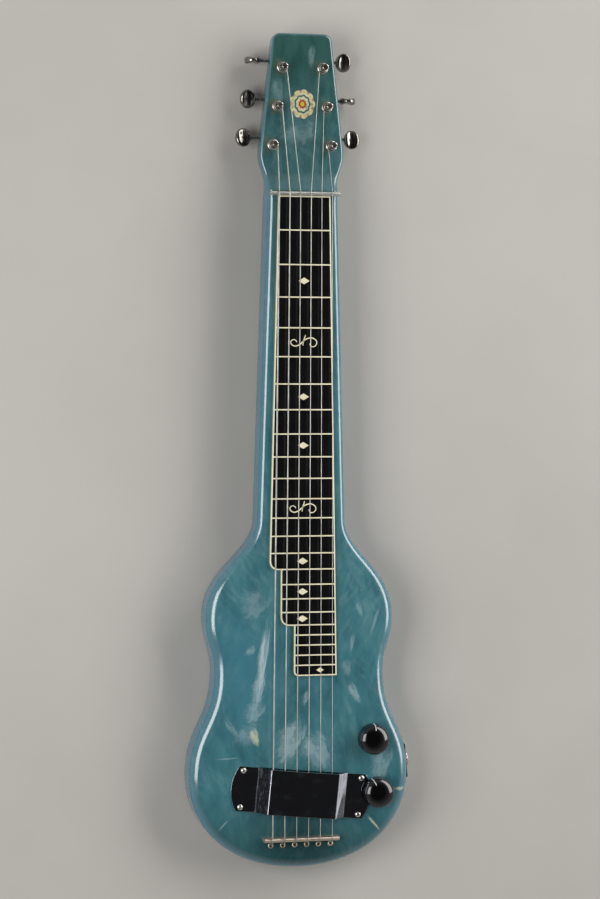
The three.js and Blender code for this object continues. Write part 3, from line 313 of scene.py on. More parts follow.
def rounded_outline(corners):
    """An outline through (x, y, radius) corners, each rounded by its own radius."""
    points = []
    for i, (x, y, radius) in enumerate(corners):
        here = Vector((x, y))
        if not radius:
            points.append(here)
            continue
        before = Vector(corners[i - 1][:2])
        after = Vector(corners[(i + 1) % len(corners)][:2])
        start = here + (before - here).normalized() * radius
        end = here + (after - here).normalized() * radius
        for step in range(CORNER_STEPS + 1):
            t = step / CORNER_STEPS
            points.append((1 - t) ** 2 * start + 2 * t * (1 - t) * here + t ** 2 * end)
    return points


def rounded_box(half, reach, corner):
    corners = ((-half, -reach), (half, -reach), (half, reach), (-half, reach))
    return rounded_outline([(x, y, corner) for x, y in corners])


def settle(bm, name, finish, body="instrument", node=None, crease=35.0):
    """Brings a shape to metres, gives it its finish and hangs it on its body."""
    bmesh.ops.scale(bm, vec=(MM, MM, MM), verts=bm.verts)
    mesh = bpy.data.meshes.new(name)
    bm.to_mesh(mesh)
    bm.free()
    mesh.polygons.foreach_set("use_smooth", [True] * len(mesh.polygons))
    mesh.set_sharp_from_angle(angle=math.radians(crease))
    mesh.materials.append(finish)
    piece = bpy.data.objects.new(name, mesh)
    bpy.context.collection.objects.link(piece)
    piece.modifiers.new("even_shading", "WEIGHTED_NORMAL").keep_sharp = True
    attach(piece, body)
    if node:
        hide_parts(node)


def settle_screw(bm, name, node=None):
    settle(bm, name, screw_steel, node=node, crease=40)


# Finishes


def set_stops(ramp, stops):
    """Gives a colour ramp its (place, colour) stops."""
    while len(ramp.elements) < len(stops):
        ramp.elements.new(0.5)
    for element, (position, colour) in zip(ramp.elements, stops):
        element.position = position
        element.color = (*colour, 1)


class Finish:
    """A shader whose colour, gloss and grain come from small chains of nodes on Object coordinates."""

    def __init__(self, name, metallic=0.0, roughness=0.5):
        self.material = bpy.data.materials.new(name)
        self.material.use_nodes = True
        self.tree = self.material.node_tree
        self.shader = self.tree.nodes["Principled BSDF"]
        self.shader.inputs["Metallic"].default_value = metallic
        self.shader.inputs["Roughness"].default_value = roughness
        self.place = self.tree.nodes.new("ShaderNodeTexCoord").outputs["Object"]

    def feed(self, socket, value):
        if isinstance(value, bpy.types.NodeSocket):
            self.tree.links.new(value, socket)
        else:
            socket.default_value = value

    def node(self, kind, inputs, output=0, **settings):
        made = self.tree.nodes.new(kind)
        for key, value in settings.items():
            setattr(made, key, value)
        for key, value in inputs.items():
            self.feed(made.inputs[key], value)
        return made.outputs[output]

    def stretched(self, scale, turn=(0, 0, 0), centre=(0, 0, 0), source=None):
        """Object coordinates moved to a centre, turned and stretched."""
        return self.node("ShaderNodeMapping", {
            "Vector": source or self.place, "Location": centre, "Rotation": turn, "Scale": scale,
        }, vector_type="TEXTURE")

    def noise(self, scale, detail=2.0, roughness=0.5, distortion=0.0, source=None, output=0):
        return self.node("ShaderNodeTexNoise", {
            "Vector": source or self.place, "Scale": scale, "Detail": detail,
            "Roughness": roughness, "Distortion": distortion,
        }, output)

    def span(self, value, low, high, to_low=0.0, to_high=1.0):
        """Maps a value's range, with a soft start and end."""
        return self.node("ShaderNodeMapRange", {
            "Value": value, "From Min": low, "From Max": high, "To Min": to_low, "To Max": to_high,
        }, interpolation_type="SMOOTHSTEP")

    def maths(self, operation, first, second=0.0):
        return self.node("ShaderNodeMath", {0: first, 1: second}, operation=operation)

    def times(self, first, second):
        return self.maths("MULTIPLY", first, second)

    def plus(self, first, second):
        return self.maths("ADD", first, second)

    def greater(self, first, second):
        return self.maths("MAXIMUM", first, second)

    def between(self, amount, first, second):
        """Mixes two numbers."""
        return self.node("ShaderNodeMix", {0: amount, 2: first, 3: second}, data_type="FLOAT")

    def vector(self, operation, first, second, output=0):
        return self.node("ShaderNodeVectorMath", {0: first, 1: second}, output, operation=operation)

    def length(self, place):
        return self.vector("LENGTH", place, (0, 0, 0), "Value")

    def jitter(self, place, amount, *grain, source=None):
        """Moves coordinates about by a noise, up to half the amount each way."""
        drift = self.vector("SUBTRACT", self.noise(*grain, source=source, output="Color"), (0.5, 0.5, 0.5))
        scaled = self.node("ShaderNodeVectorMath", {0: drift, "Scale": amount}, operation="SCALE")
        return self.vector("ADD", place, scaled)

    def upright(self):
        """Z of the direction that a face looks in."""
        return self.node("ShaderNodeSeparateXYZ", {0: self.place.node.outputs["Normal"]}, 2)

    def blend(self, amount, first, second):
        """Mixes two colours."""
        return self.node("ShaderNodeMix", {
            0: amount,
            6: first if isinstance(first, bpy.types.NodeSocket) else (*first, 1),
            7: second if isinstance(second, bpy.types.NodeSocket) else (*second, 1),
        }, 2, data_type="RGBA")

    def ramp(self, value, stops):
        """Colours along a value, from (place, colour) stops."""
        made = self.tree.nodes.new("ShaderNodeValToRGB")
        set_stops(made.color_ramp, stops)
        self.feed(made.inputs[0], value)
        return made.outputs[0]

    def oval(self, centre, half, turn=0.0):
        """Coordinates in which an oval on a face is a circle. Sizes are millimetres, turns degrees."""
        return self.stretched(
            tuple(MM * h for h in half), (0, 0, math.radians(turn)), tuple(MM * c for c in centre),
        )

    def patch(self, centre, half, turn=0.0, soft=0.5):
        """A soft oval patch on a face: 1 in its middle, 0 outside."""
        return self.span(self.length(self.oval(centre, half, turn)), 1.0, soft)

    def smear(self, x, y, half, reach, turn, strength):
        """A brushed stroke on a face: ragged at its rim, with hairs along it."""
        face = HEAD_FACE if y > along(FLARE_AT) else FACE_TOP
        local = self.oval((x, y, face), (half, reach, MARK_DEPTH), turn)
        ragged = self.jitter(local, 1.5, 2.2, 4, 0.7, source=local)
        inside = self.span(self.length(ragged), 1.0, 0.4)
        hair = self.noise(1, 2, 0.6, source=self.stretched((0.34, 1.4, 1), source=ragged))
        return self.times(inside, self.span(hair, 0.34, 0.60, 0.35 * strength, strength))

    def bump(self, height, strength, distance):
        self.feed(self.shader.inputs["Normal"], self.node("ShaderNodeBump", {
            "Height": height, "Strength": strength, "Distance": distance,
        }))

    def colour(self, value):
        self.feed(self.shader.inputs["Base Color"], value)

    def gloss(self, value):
        self.feed(self.shader.inputs["Roughness"], value)


# Marks on the faces: X, Y, half width, half length, turn in degrees and strength
MARK_DEPTH = 9
PEARL_SMEARS = (
    (-35.5, 9, 5.2, 40, -7, 1.0),
    (-39, -14, 7, 19, -9, 0.60),
    (-42, -33, 10, 13, -32, 0.45),
    (-46, 21.5, 7, 4, 40, 0.34),
    (-48, -53, 15, 11, 35, 0.26),
    (-62.9, -47.3, 4, 13, 38, 0.26),
    (-9.6, -60, 14, 24, -24, 0.60),
    (14.4, -69, 16, 21, 26, 0.48),
    (74, -82, 12, 20, -14, 0.34),
    (4.4, -21.2, 3.5, 8, -18, 0.42),
    (41.2, 4.8, 6, 9, 12, 0.26),
    (48.3, -17.8, 5, 12, 28, 0.48),
    (46.1, 27, 2.6, 10, -8, 0.34),
    (52.7, 57, 3.4, 8, 18, 0.32),
    (67.3, 46.8, 2, 15, -18, 0.34),
    (-42.2, 62, 15, 17, -35, 0.26),
    (-67.2, -73.8, 13, 0.9, 2, 0.34),
    (-70.2, -133, 1.1, 7, -42, 0.40),
    (-2, 478, 20, 12, 20, 0.22),
    (-22, 514, 7, 15, 8, 0.20),
    (8, 546, 4, 12, -4, 0.24),
)
WORN_MARKS = (
    (-42.1, -55.2, 5, 9.5, 18, 0.80),
    (91.2, -105.5, 5.5, 2.2, 4, 0.85),
    (67, -135.5, 1.5, 10, 40, 0.75),
    (-33.5, 415, 2, 9, 0, 0.45),
)


def pearl_finish():
    """Blue pearl sheet: clouds, brushed streaks, smears, worn marks, stains round the posts, painted shade
    and sheen.
    """
    f = Finish("blue_pearl_sheet")
    f.shader.inputs["Coat Weight"].default_value = 1.0
    f.shader.inputs["Coat Roughness"].default_value = 0.17
    f.shader.inputs["Coat IOR"].default_value = 1.78
    f.shader.inputs["Specular IOR Level"].default_value = 0.2
    wavy = f.jitter(f.place, 0.005, 60, 3, 0.6)

    def brushed(width, length, turn):
        return f.noise(1, 2, 0.55, source=f.stretched((width, length, length), (0, 0, turn), source=wavy))

    def smeared(spots, amount=0.0):
        for spot in spots:
            amount = f.greater(amount, f.smear(*spot))
        return amount

    cloud = f.noise(1, 3, 0.55, source=f.stretched((0.020, 0.042, 0.03), (0, 0, 0.2), source=wavy))
    lean = f.span(f.noise(18, 2), 0.44, 0.56)
    streak = f.between(lean, brushed(0.0055, 0.030, -0.38), brushed(0.0055, 0.030, 0.25))
    tone = f.between(0.35, cloud, streak)
    sheet_colour = f.ramp(tone, [
        (0.32, (0.031, 0.120, 0.144)),
        (0.46, (0.046, 0.160, 0.192)),
        (0.55, (0.058, 0.186, 0.216)),
        (0.70, (0.098, 0.240, 0.262)),
    ])
    bluer = f.times(f.patch((-48, 2, 36), (46, 76, 80), 0, 0.2), 0.5)
    sheet_colour = f.blend(bluer, sheet_colour, (0.050, 0.192, 0.258))
    up = f.node("ShaderNodeSeparateXYZ", {0: f.place}, 1)
    sheet_colour = f.blend(f.span(up, 0.22, 0.47, 0, 0.65), sheet_colour, (0.042, 0.106, 0.104))
    sheet_colour = f.blend(f.span(up, 0.46, 0.57, 0, 0.8), sheet_colour, (0.024, 0.078, 0.062))
    shaded = f.span(f.noise(1, 3, 0.6, source=f.stretched((0.012, 0.030, 0.012), source=wavy)), 0.42, 0.62)
    shaded = f.times(shaded, f.span(up, 0.36, 0.48, 0, 0.55))
    sheet_colour = f.blend(shaded, sheet_colour, (0.012, 0.058, 0.052))
    # Painted shade: the sheet is painted darker towards the tail, and darker still in the tail patch, where
    # less light falls.
    sheet_colour = f.blend(f.span(up, -0.100, -0.160, 0, 0.72), sheet_colour, (0.020, 0.070, 0.074))
    tail_shade = f.times(f.patch((2, -158, 36), (58, 34, 80), 0, 0.25), 0.7)
    sheet_colour = f.blend(tail_shade, sheet_colour, (0.008, 0.034, 0.037))
    # Painted sheen: the rounded edges and side walls get a bluer colour by the way they face. The walls are
    # painted darker towards the tail and at the head as painted shade.
    facing = f.maths("ABSOLUTE", f.upright())
    sheet_colour = f.blend(f.span(facing, 0.95, 0.6, 0, 0.8), sheet_colour, (0.040, 0.180, 0.250))
    ends = f.greater(f.span(up, -0.02, -0.12, 0, 0.5), f.span(up, 0.42, 0.47, 0, 0.7))
    wall = f.blend(ends, (0.001, 0.156, 0.256), (0.002, 0.060, 0.085))
    sheet_colour = f.blend(f.span(facing, 0.50, 0.1, 0, 0.9), sheet_colour, wall)

    wisps = 0.0
    faint = f.times(f.span(up, 0.30, 0.46, 1.0, 0.6), f.span(up, -0.07, -0.13, 0.08, 0.03))
    for turn, size in ((-0.5, 17), (0.12, 23), (0.7, 20)):
        here = f.span(f.noise(size, 2, source=f.stretched((1, 1.6, 1), (0, 0, turn))), 0.50, 0.66)
        hair = f.span(brushed(0.0045, 0.017, turn), 0.46, 0.66, 0, faint)
        wisps = f.greater(wisps, f.times(here, hair))
    sheet_colour = f.blend(smeared(PEARL_SMEARS, wisps), sheet_colour, (0.43, 0.56, 0.60))
    sheet_colour = f.blend(smeared(WORN_MARKS), sheet_colour, (0.60, 0.62, 0.44))
    stain = 0.0
    for i in STRINGS:
        side, x, y = tuner_place(i)
        halo = f.patch((x - 2, y, HEAD_FACE), (9.5, 9.5, MARK_DEPTH), 0, 0.45)
        stain = f.greater(stain, f.times(halo, 0.75 if side < 0 else 0.45))
    stain = f.times(stain, f.span(f.noise(260, 4, 0.7), 0.40, 0.62, 0.1, 1.0))
    f.colour(f.blend(stain, sheet_colour, (0.105, 0.120, 0.048)))
    f.gloss(f.span(f.noise(60, 3), 0.3, 0.75, 0.18, 0.30))
    f.bump(f.noise(140, 2), 0.05, 0.0004)
    return f.material


def sheet_finish(name, pale, dark, roughness, scratch, depth=0.05):
    """Smooth plastic sheet with a faint cloudiness and fine scratches."""
    f = Finish(name)
    cloud = f.span(f.noise(90, 3, 0.6), 0.3, 0.7)
    f.colour(f.blend(cloud, dark, pale))
    hair = f.noise(1, 3, 0.7, source=f.stretched((0.0006, 0.03, 0.01), (0, 0, 0.3)))
    f.gloss(f.span(hair, 0.35, 0.75, roughness, roughness + scratch))
    f.bump(hair, depth, 0.0002)
    return f.material


def metal_finish(name, colour, dull, roughness, spread, scale=120.0, tarnish=0.5):
    """Plated metal with cloudy tarnish, fine pits and uneven gloss."""
    f = Finish(name, metallic=1.0)
    cloud = f.noise(scale, 4, 0.62)
    spots = f.span(f.noise(scale * 6, 3, 0.7), 0.56, 0.72)
    worn = f.greater(f.span(cloud, 0.45, 0.75), f.times(spots, tarnish))
    f.colour(f.blend(f.times(worn, tarnish), colour, dull))
    f.gloss(f.span(cloud, 0.25, 0.75, roughness, roughness + spread))
    f.bump(f.noise(scale * 9, 2), 0.08, 0.0001)
    return f.material


def cover_finish():
    """Dark mirror of the bent cover: bends scratched, the bass one rougher and painted dark, the treble one
    painted bright.
    """
    f = Finish("cover_plate_mirror", metallic=1.0)
    local = f.stretched((1, 1, 1), (0, 0, cover.turn), (0, MM * along(cover.centre_at), MM * FACE_TOP))
    split = f.node("ShaderNodeSeparateXYZ", {0: local})
    across, length = split.node.outputs[0], split.node.outputs[1]
    out = f.maths("ABSOLUTE", across)
    from_crest = f.span(out, MM * (cover.crest - 0.5), MM * (cover.crest + 0.5))
    bend = f.times(from_crest, f.span(out, MM * (cover.foot + 0.5), MM * (cover.foot - 0.5)))
    bass = f.times(bend, f.span(across, 0.001, -0.001))
    treble = f.times(bend, f.span(across, -0.001, 0.001))

    def grain(size, *shape):
        return f.noise(1, *shape, source=f.stretched(size, source=local))

    hair = grain((0.004, 0.0006, 0.004), 4, 0.75)
    scratch = f.times(bend, f.span(grain((0.0011, 0.009, 0.004), 3, 0.8, 0.8), 0.54, 0.64))
    specks = f.times(f.span(grain((0.003, 0.012, 0.004), 3, 0.7, 0.4), 0.50, 0.56), 0.35)
    # Painted dark reflection: past this slanted line, low on the treble bend, the bend is painted dark. The
    # specks are small dark marks on the plate.
    dark_reflection_slant = f.span(f.plus(across, f.times(length, -0.25)), MM * 35.5, MM * 37.5)
    stain = f.greater(specks, f.times(dark_reflection_slant, f.span(length, MM * 5, MM * -3, 0.1, 0.95)))
    smudge = f.span(grain((0.016, 0.011, 0.01), 3, 0.6), 0.50, 0.70)
    plate = f.blend(f.span(hair, 0.3, 0.8), (0.45, 0.46, 0.53), (0.36, 0.37, 0.43))
    plate = f.blend(smudge, plate, (0.50, 0.52, 0.62))
    # Painted highlight: rims and bevels that turn away from straight up are painted pale.
    plate = f.blend(f.span(f.upright(), 0.9, 0.5, 0, 0.8), plate, (0.85, 0.86, 0.86))
    # Painted dark reflection: the bass bend is painted near black.
    plate = f.blend(bass, plate, (0.020, 0.022, 0.028))
    # Painted reflection: the treble bend is painted pale.
    plate = f.blend(f.times(treble, 0.85), plate, (0.84, 0.86, 0.92))
    # Dark specks, and the painted dark reflection across the lower treble bend.
    plate = f.blend(f.times(treble, stain), plate, (0.08, 0.08, 0.09))
    marked = f.times(scratch, f.span(across, -0.001, 0.001, 0.22, 0.5))
    f.colour(f.blend(marked, plate, (0.42, 0.45, 0.50)))
    # The treble bend is made less metallic, so its pale paint reads as a bright painted reflection.
    f.feed(f.shader.inputs["Metallic"], f.maths("SUBTRACT", 1.0, f.times(treble, 0.6)))
    dull = f.span(hair, 0.3, 0.8, 0.04, 0.09)
    for place, amount in ((bass, 0.28), (treble, 0.12), (smudge, 0.12), (scratch, 0.15)):
        dull = f.plus(dull, f.times(place, amount))
    f.gloss(dull)
    f.bump(f.plus(f.times(hair, 0.15), scratch), 0.10, 0.0002)
    return f.material


def string_finish(name, pale, dull, pitch=0.0):
    """String steel, evenly bright. A pitch, in millimetres, adds the fine ridges of a winding."""
    f = Finish(name, metallic=1.0)
    cloud = f.noise(90, 3)
    f.colour(f.blend(f.span(cloud, 0.35, 0.7), pale, dull))
    f.gloss(f.span(cloud, 0.3, 0.7, 0.34, 0.44))
    if pitch:
        ridge = f.node("ShaderNodeTexWave", {
            "Vector": f.place, "Scale": FULL / 20 / (pitch * MM), "Distortion": 0.0,
        }, 1, wave_type="BANDS", bands_direction="Y", wave_profile="SIN")
        f.bump(ridge, 0.12, 0.00004)
    else:
        f.bump(f.noise(600, 2), 0.04, 0.00003)
    return f.material


def bakelite_finish():
    """Glossy black moulded knob with a little dust and fine hairlines."""
    f = Finish("glossy_black_bakelite")
    f.shader.inputs["Coat Weight"].default_value = 0.5
    f.shader.inputs["Coat Roughness"].default_value = 0.05
    dust = f.span(f.noise(900, 3, 0.8), 0.66, 0.82)
    f.colour(f.blend(f.times(dust, 0.1), (0.0022, 0.0022, 0.0024), (0.05, 0.05, 0.045)))
    f.gloss(f.span(f.noise(160, 4), 0.3, 0.75, 0.08, 0.15))
    f.bump(f.noise(120, 2), 0.05, 0.0003)
    return f.material


def rosette_finish():
    """Painted rosette: cream petals round a red and yellow heart, a little rubbed."""
    f = Finish("painted_rosette")
    local = f.oval((0, ROSETTE_Y, HEAD_FACE), (rosette.half, rosette.reach, rosette.half))
    split = f.node("ShaderNodeSeparateXYZ", {0: local})
    angle = f.maths("ARCTAN2", split.node.outputs[1], split.node.outputs[0])
    petal = f.maths("COSINE", f.times(angle, rosette.petals))
    out = f.length(local)
    ring = f.plus(out, f.times(petal, -0.03))
    red, yellow = (0.36, 0.03, 0.02), (0.55, 0.46, 0.03)
    green, cream = (0.01, 0.08, 0.08), (0.58, 0.56, 0.36)
    bands = (
        (yellow, 0.0, 0.14), (red, 0.18, 0.28), (cream, 0.33, 0.48),
        (green, 0.53, 0.60), (cream, 0.65, 1.0),
    )
    painted = f.ramp(ring, [(place, colour) for colour, low, high in bands for place in (low, high)])
    between = f.times(f.span(petal, 0.0, -0.8, 0, 0.75), f.span(out, 0.70, 0.90))
    painted = f.blend(between, painted, red)
    from_tips = f.maths("ABSOLUTE", f.maths("SUBTRACT", out, 0.80))
    tip = f.times(f.span(petal, 0.4, 1.0), f.span(from_tips, 0.10, 0.04))
    painted = f.blend(tip, painted, yellow)
    rubbed = f.span(f.noise(420, 4, 0.7), 0.52, 0.64, 0, 0.75)
    f.colour(f.blend(rubbed, painted, (0.10, 0.16, 0.10)))
    f.gloss(f.span(rubbed, 0, 0.75, 0.28, 0.45))
    f.bump(rubbed, 0.08, 0.0001)
    return f.material


def wood_finish():
    """Bare wood inside the plank: long rings and fine pores."""
    f = Finish("bare_plank_wood", roughness=0.7)
    ring = f.noise(1, 4, 0.6, 1.5, source=f.stretched((0.012, 0.22, 0.012)))
    pore = f.noise(1, 3, 0.7, source=f.stretched((0.0007, 0.012, 0.0007)))
    f.colour(f.ramp(ring, [
        (0.3, (0.33, 0.18, 0.08)), (0.55, (0.46, 0.27, 0.12)), (0.75, (0.38, 0.21, 0.09)),
    ]))
    f.bump(f.plus(ring, f.times(pore, 0.6)), 0.25, 0.0005)
    return f.material


def winding_finish():
    """Fine enamelled copper wire, layer on layer."""
    f = Finish("enamelled_copper_winding", metallic=0.7, roughness=0.35)
    lay = f.node("ShaderNodeTexWave", {
        "Vector": f.place, "Scale": 900, "Distortion": 0.4, "Detail Scale": 3.0,
    }, 1, wave_type="BANDS", bands_direction="Z")
    f.colour(f.blend(lay, (0.22, 0.07, 0.03), (0.55, 0.22, 0.09)))
    f.bump(lay, 0.5, 0.0002)
    return f.material


def paper_finish():
    """Waxed paper wrapping."""
    f = Finish("waxed_paper", roughness=0.45)
    fibre = f.noise(300, 4, 0.7, 0.5)
    f.colour(f.blend(f.span(fibre, 0.3, 0.75), (0.62, 0.45, 0.22), (0.48, 0.31, 0.13)))
    f.bump(fibre, 0.15, 0.0002)
    return f.material


pearl = pearl_finish()
black_sheet = sheet_finish(
    "black_board_sheet", (0.0065, 0.0065, 0.007), (0.004, 0.004, 0.0045), 0.14, 0.05, 0.01,
)
cream_sheet = sheet_finish("aged_cream_sheet", (0.90, 0.85, 0.62), (0.80, 0.73, 0.50), 0.32, 0.12)
pocket_sheet = sheet_finish("black_pocket_cover", (0.022, 0.021, 0.020), (0.012, 0.012, 0.012), 0.35, 0.15)
chrome = cover_finish()
jack_chrome = metal_finish("jack_plate_chrome", (0.70, 0.70, 0.70), (0.40, 0.38, 0.35), 0.12, 0.16)
nickel = metal_finish("aged_nickel", (0.58, 0.53, 0.49), (0.16, 0.14, 0.12), 0.17, 0.15)
# Painted shade: the buttons get a darker copy of the nickel, standing in for the dark surroundings they
# mirror.
button_nickel_in_shade = metal_finish("button_nickel_painted_dark", (0.27, 0.255, 0.23), (0.09, 0.08, 0.07), 0.12, 0.12)
nut_metal = metal_finish("worn_nut_bar", (0.74, 0.73, 0.70), (0.50, 0.48, 0.44), 0.28, 0.2)
# The bridge bar's warm tan colour is a painted reflection of the warm floor.
bridge_metal = metal_finish("worn_bridge_bar_warm_reflection", (0.72, 0.60, 0.50), (0.48, 0.37, 0.29), 0.34, 0.2)
brass = metal_finish("aged_brass", (0.78, 0.69, 0.50), (0.34, 0.27, 0.17), 0.24, 0.22)
screw_steel = metal_finish("screw_steel", (0.78, 0.76, 0.72), (0.42, 0.39, 0.35), 0.18, 0.22)
magnet_steel = metal_finish("dull_magnet_steel", (0.40, 0.39, 0.38), (0.20, 0.17, 0.14), 0.42, 0.2)
bakelite = bakelite_finish()
bare_wood = wood_finish()
copper_winding = winding_finish()
waxed_paper = paper_finish()
lead_cloth = sheet_finish("black_lead_cover", (0.03, 0.028, 0.026), (0.012, 0.012, 0.012), 0.55, 0.2)
white_line = sheet_finish("white_pointer_paint", (0.80, 0.79, 0.74), (0.66, 0.64, 0.58), 0.4, 0.1)
wound_steel = string_finish("wound_string_steel", (0.44, 0.44, 0.40), (0.32, 0.32, 0.29), 0.42)
plain_steel = string_finish("plain_string_steel", (0.55, 0.54, 0.50), (0.41, 0.40, 0.37))
painted_rosette = rosette_finish()

# Plank: its outline, and how its faces and rounded edges run along it


def bent(start, start_pull, end, end_pull, steps, gather=1.0):
    """Points of a cubic curve after its start. With gather over 1 they crowd towards the end."""
    pulls = [Vector(start), Vector(start) + Vector(start_pull), Vector(end) + Vector(end_pull), Vector(end)]
    points = []
    for step in range(1, steps + 1):
        t = 1 - (1 - step / steps) ** gather
        weights = ((1 - t) ** 3, 3 * t * (1 - t) ** 2, 3 * t * t * (1 - t), t ** 3)
        points.append(sum((weight * pull for weight, pull in zip(weights, pulls)), Vector((0, 0))))
    return points


def half_outline():
    """The treble half of the plank's outline, as (x, at), from the tail's middle to the tip's."""
    tail = (0, -plank.tail)
    lower = (plank.lower, plank.lower_at)
    waist = (plank.waist, plank.waist_at)
    upper = (plank.upper, plank.upper_at)
    heel = (plank.heel, plank.heel_at)
    throat = (neck.throat, THROAT_AT)
    flare = (head.flare, FLARE_AT)
    shoulder = (head.shoulder, SHOULDER_AT)
    crown = (head.crown, TIP_AT)
    bout = 0.47 * (plank.waist_at - plank.lower_at)
    middle = 0.48 * (plank.upper_at - plank.waist_at)
    slope = plank.heel_at - plank.upper_at
    swell = FLARE_AT - THROAT_AT
    flank = SHOULDER_AT - FLARE_AT
    lean = (head.flare - head.shoulder) / flank
    tip = (0.6 * (head.shoulder - head.crown), 0.7 * (TIP_AT - SHOULDER_AT))
    return [
        Vector(tail),
        *bent(tail, (0.6 * plank.lower, 0), lower, (0, -0.58 * (plank.lower_at + plank.tail)), 34),
        *bent(lower, (0, bout), waist, (0, -bout), 16),
        *bent(waist, (0, middle), upper, (0, -middle), 12),
        *bent(upper, (0, 0.5 * slope), heel, (0, -0.35 * slope), 22),
        *bent(heel, (0, 0), throat, (0, 0), 22, 2.0),
        *bent(throat, (0, 0.45 * swell), flare, (0, -0.3 * swell), 16),
        *bent(flare, (0, 0.07 * flank), shoulder, (0.3 * flank * lean, -0.3 * flank), 10),
        *bent(shoulder, (0, tip[1]), crown, (tip[0], 0), 8),
        Vector((0, TIP_AT)),
    ]


treble_line = half_outline()


def outward(i):
    """Direction out of the outline at one of its points."""
    if i == 0:
        return Vector((0, -1))
    if i == len(treble_line) - 1:
        return Vector((0, 1))
    run = (treble_line[i + 1] - treble_line[i - 1]).normalized()
    return Vector((run.y, -run.x))


def half_width(at):
    i = next(k for k, point in enumerate(treble_line) if k and point.y >= at)
    low, high = treble_line[i - 1], treble_line[i]
    return share(low.x, high.x, (at - low.y) / (high.y - low.y))


def head_share(at):
    return smooth(part_of(at, THROAT_AT - head.volute / 2, THROAT_AT + head.volute / 2))


def neck_share(at):
    return smooth(part_of(at, plank.upper_at, plank.heel_at))


def top_of(at):
    return plank.depth - head.drop * math.sin(math.pi / 2 * part_of(at, THROAT_AT, THROAT_AT + head.scoop))


def bottom_of(at):
    return HEAD_BACK * head_share(at)


def front_edge(at):
    return share(share(plank.front_edge, neck.front_edge, neck_share(at)), head.edge, head_share(at))


def back_edge(at):
    return share(share(plank.back_edge, neck.back_edge, neck_share(at)), head.edge, head_share(at))


def ring_at(level):
    """Corners of a closed ring round the plank. Level gives how far in and how high it runs."""
    treble = []
    for i, point in enumerate(treble_line):
        inward, height = level(point.y)
        place = point - inward * outward(i)
        treble.append(Vector((place.x, along(place.y), height)))
    return treble + [Vector((-p.x, p.y, p.z)) for p in reversed(treble[1:-1])]


def edge_levels(face, edge, side, inset, steps, flat):
    """Levels round an edge, from the side wall to its face. Side is 1 for the front, -1 for the back."""
    def level(step):
        angle = math.pi / 2 * (1 - step / steps)

        def place(at):
            radius = edge(at) - inset
            height = face(at) - side * inset - side * radius * (1 - math.cos(angle))
            return inset + radius * (1 - math.sin(angle)), height
        return place

    def beyond(at):
        return edge(at) + flat, face(at) - side * inset
    return [level(step) for step in range(steps + 1)] + ([beyond] if flat else [])


def front_levels(inset, steps, flat=0.0):
    return edge_levels(top_of, front_edge, 1, inset, steps, flat)


def back_levels(inset, steps, flat=0.0):
    return edge_levels(bottom_of, back_edge, -1, inset, steps, flat)


def seam_level(inset, gap):
    return lambda at: (inset, bottom_of(at) + back_edge(at) + gap)


def wall_level(inset):
    return lambda at: (inset, top_of(at) - front_edge(at) - skin.flat)


def raised_ring(bm, ring, places):
    """Extrudes a closed ring of corners and moves the new corners to their places."""
    edges = [bm.edges.get((ring[i - 1], ring[i])) for i in range(len(ring))]
    fresh = set(corners_in(bmesh.ops.extrude_edge_only(bm, edges=edges)["geom"]))
    raised = []
    for corner, place in zip(ring, places):
        new = next(e.other_vert(corner) for e in corner.link_edges if e.other_vert(corner) in fresh)
        new.co = place
        raised.append(new)
    return raised


def close_across(bm, ring):
    """Closes a ring with one face, split from each treble corner to its bass one."""
    bm.faces.new(ring)
    for i in range(1, len(treble_line) - 1):
        bmesh.ops.connect_vert_pair(bm, verts=[ring[i], ring[-i]])


def shell(levels):
    """A closed shell through rings round the plank."""
    bm = drawn(ring_at(levels[0]))
    bm.verts.ensure_lookup_table()
    first = ring = bm.verts[:]
    for level in levels[1:]:
        ring = raised_ring(bm, ring, ring_at(level))
    close_across(bm, first)
    close_across(bm, ring)
    bmesh.ops.recalc_face_normals(bm, faces=bm.faces)
    return bm


# Places on the plank that several pieces share


def on_cover(x, y):
    spot = Vector((x, y))
    spot.rotate(Matrix.Rotation(cover.turn, 2))
    return spot + Vector((0, along(cover.centre_at)))


COVER_SCREWS = [
    on_cover(side * cover.screw_along, end * cover.screw_across) for side in (-1, 1) for end in (1, -1)
]

POCKET_NEAR = knob_places["volume"].x - pocket.can - pocket.inner
POCKET_FAR = knob_places["tone"].x + pocket.can + pocket.outer
POCKET_FROM = knob_places["tone"].y - pocket.can - pocket.tail
POCKET_TO = knob_places["volume"].y + pocket.can + pocket.head
POCKET_X = (POCKET_NEAR + POCKET_FAR) / 2
POCKET_Y = (POCKET_FROM + POCKET_TO) / 2
POCKET_HALF = (POCKET_FAR - POCKET_NEAR) / 2
POCKET_REACH = (POCKET_TO - POCKET_FROM) / 2

JACK_ENDS = [half_width(jack.at + end * jack.length / 2) for end in (-1, 1)]
JACK_SLOPE = math.atan((JACK_ENDS[1] - JACK_ENDS[0]) / jack.length)
JACK_FACE = CLEAR - jack.seat


def at_jack(bm):
    """Carries a shape built along +X to the jack's place on the treble side wall."""
    rotated(bm, -JACK_SLOPE, "Z")
    return moved(bm, (half_width(jack.at), along(jack.at), jack.height))


def lying(bm):
    """Turns a shape that stands along Z so that it points along +X."""
    return rotated(bm, math.pi / 2, "Y")


def face_bore(radius, x, y):
    return moved(bar(radius, FACE_BORE), (x, y, FACE_TOP + OVERRUN - FACE_BORE))


def post_bore(i, foot, height):
    _, x, y = tuner_place(i)
    return moved(bar(tuner.hole, height), (x, y, foot))


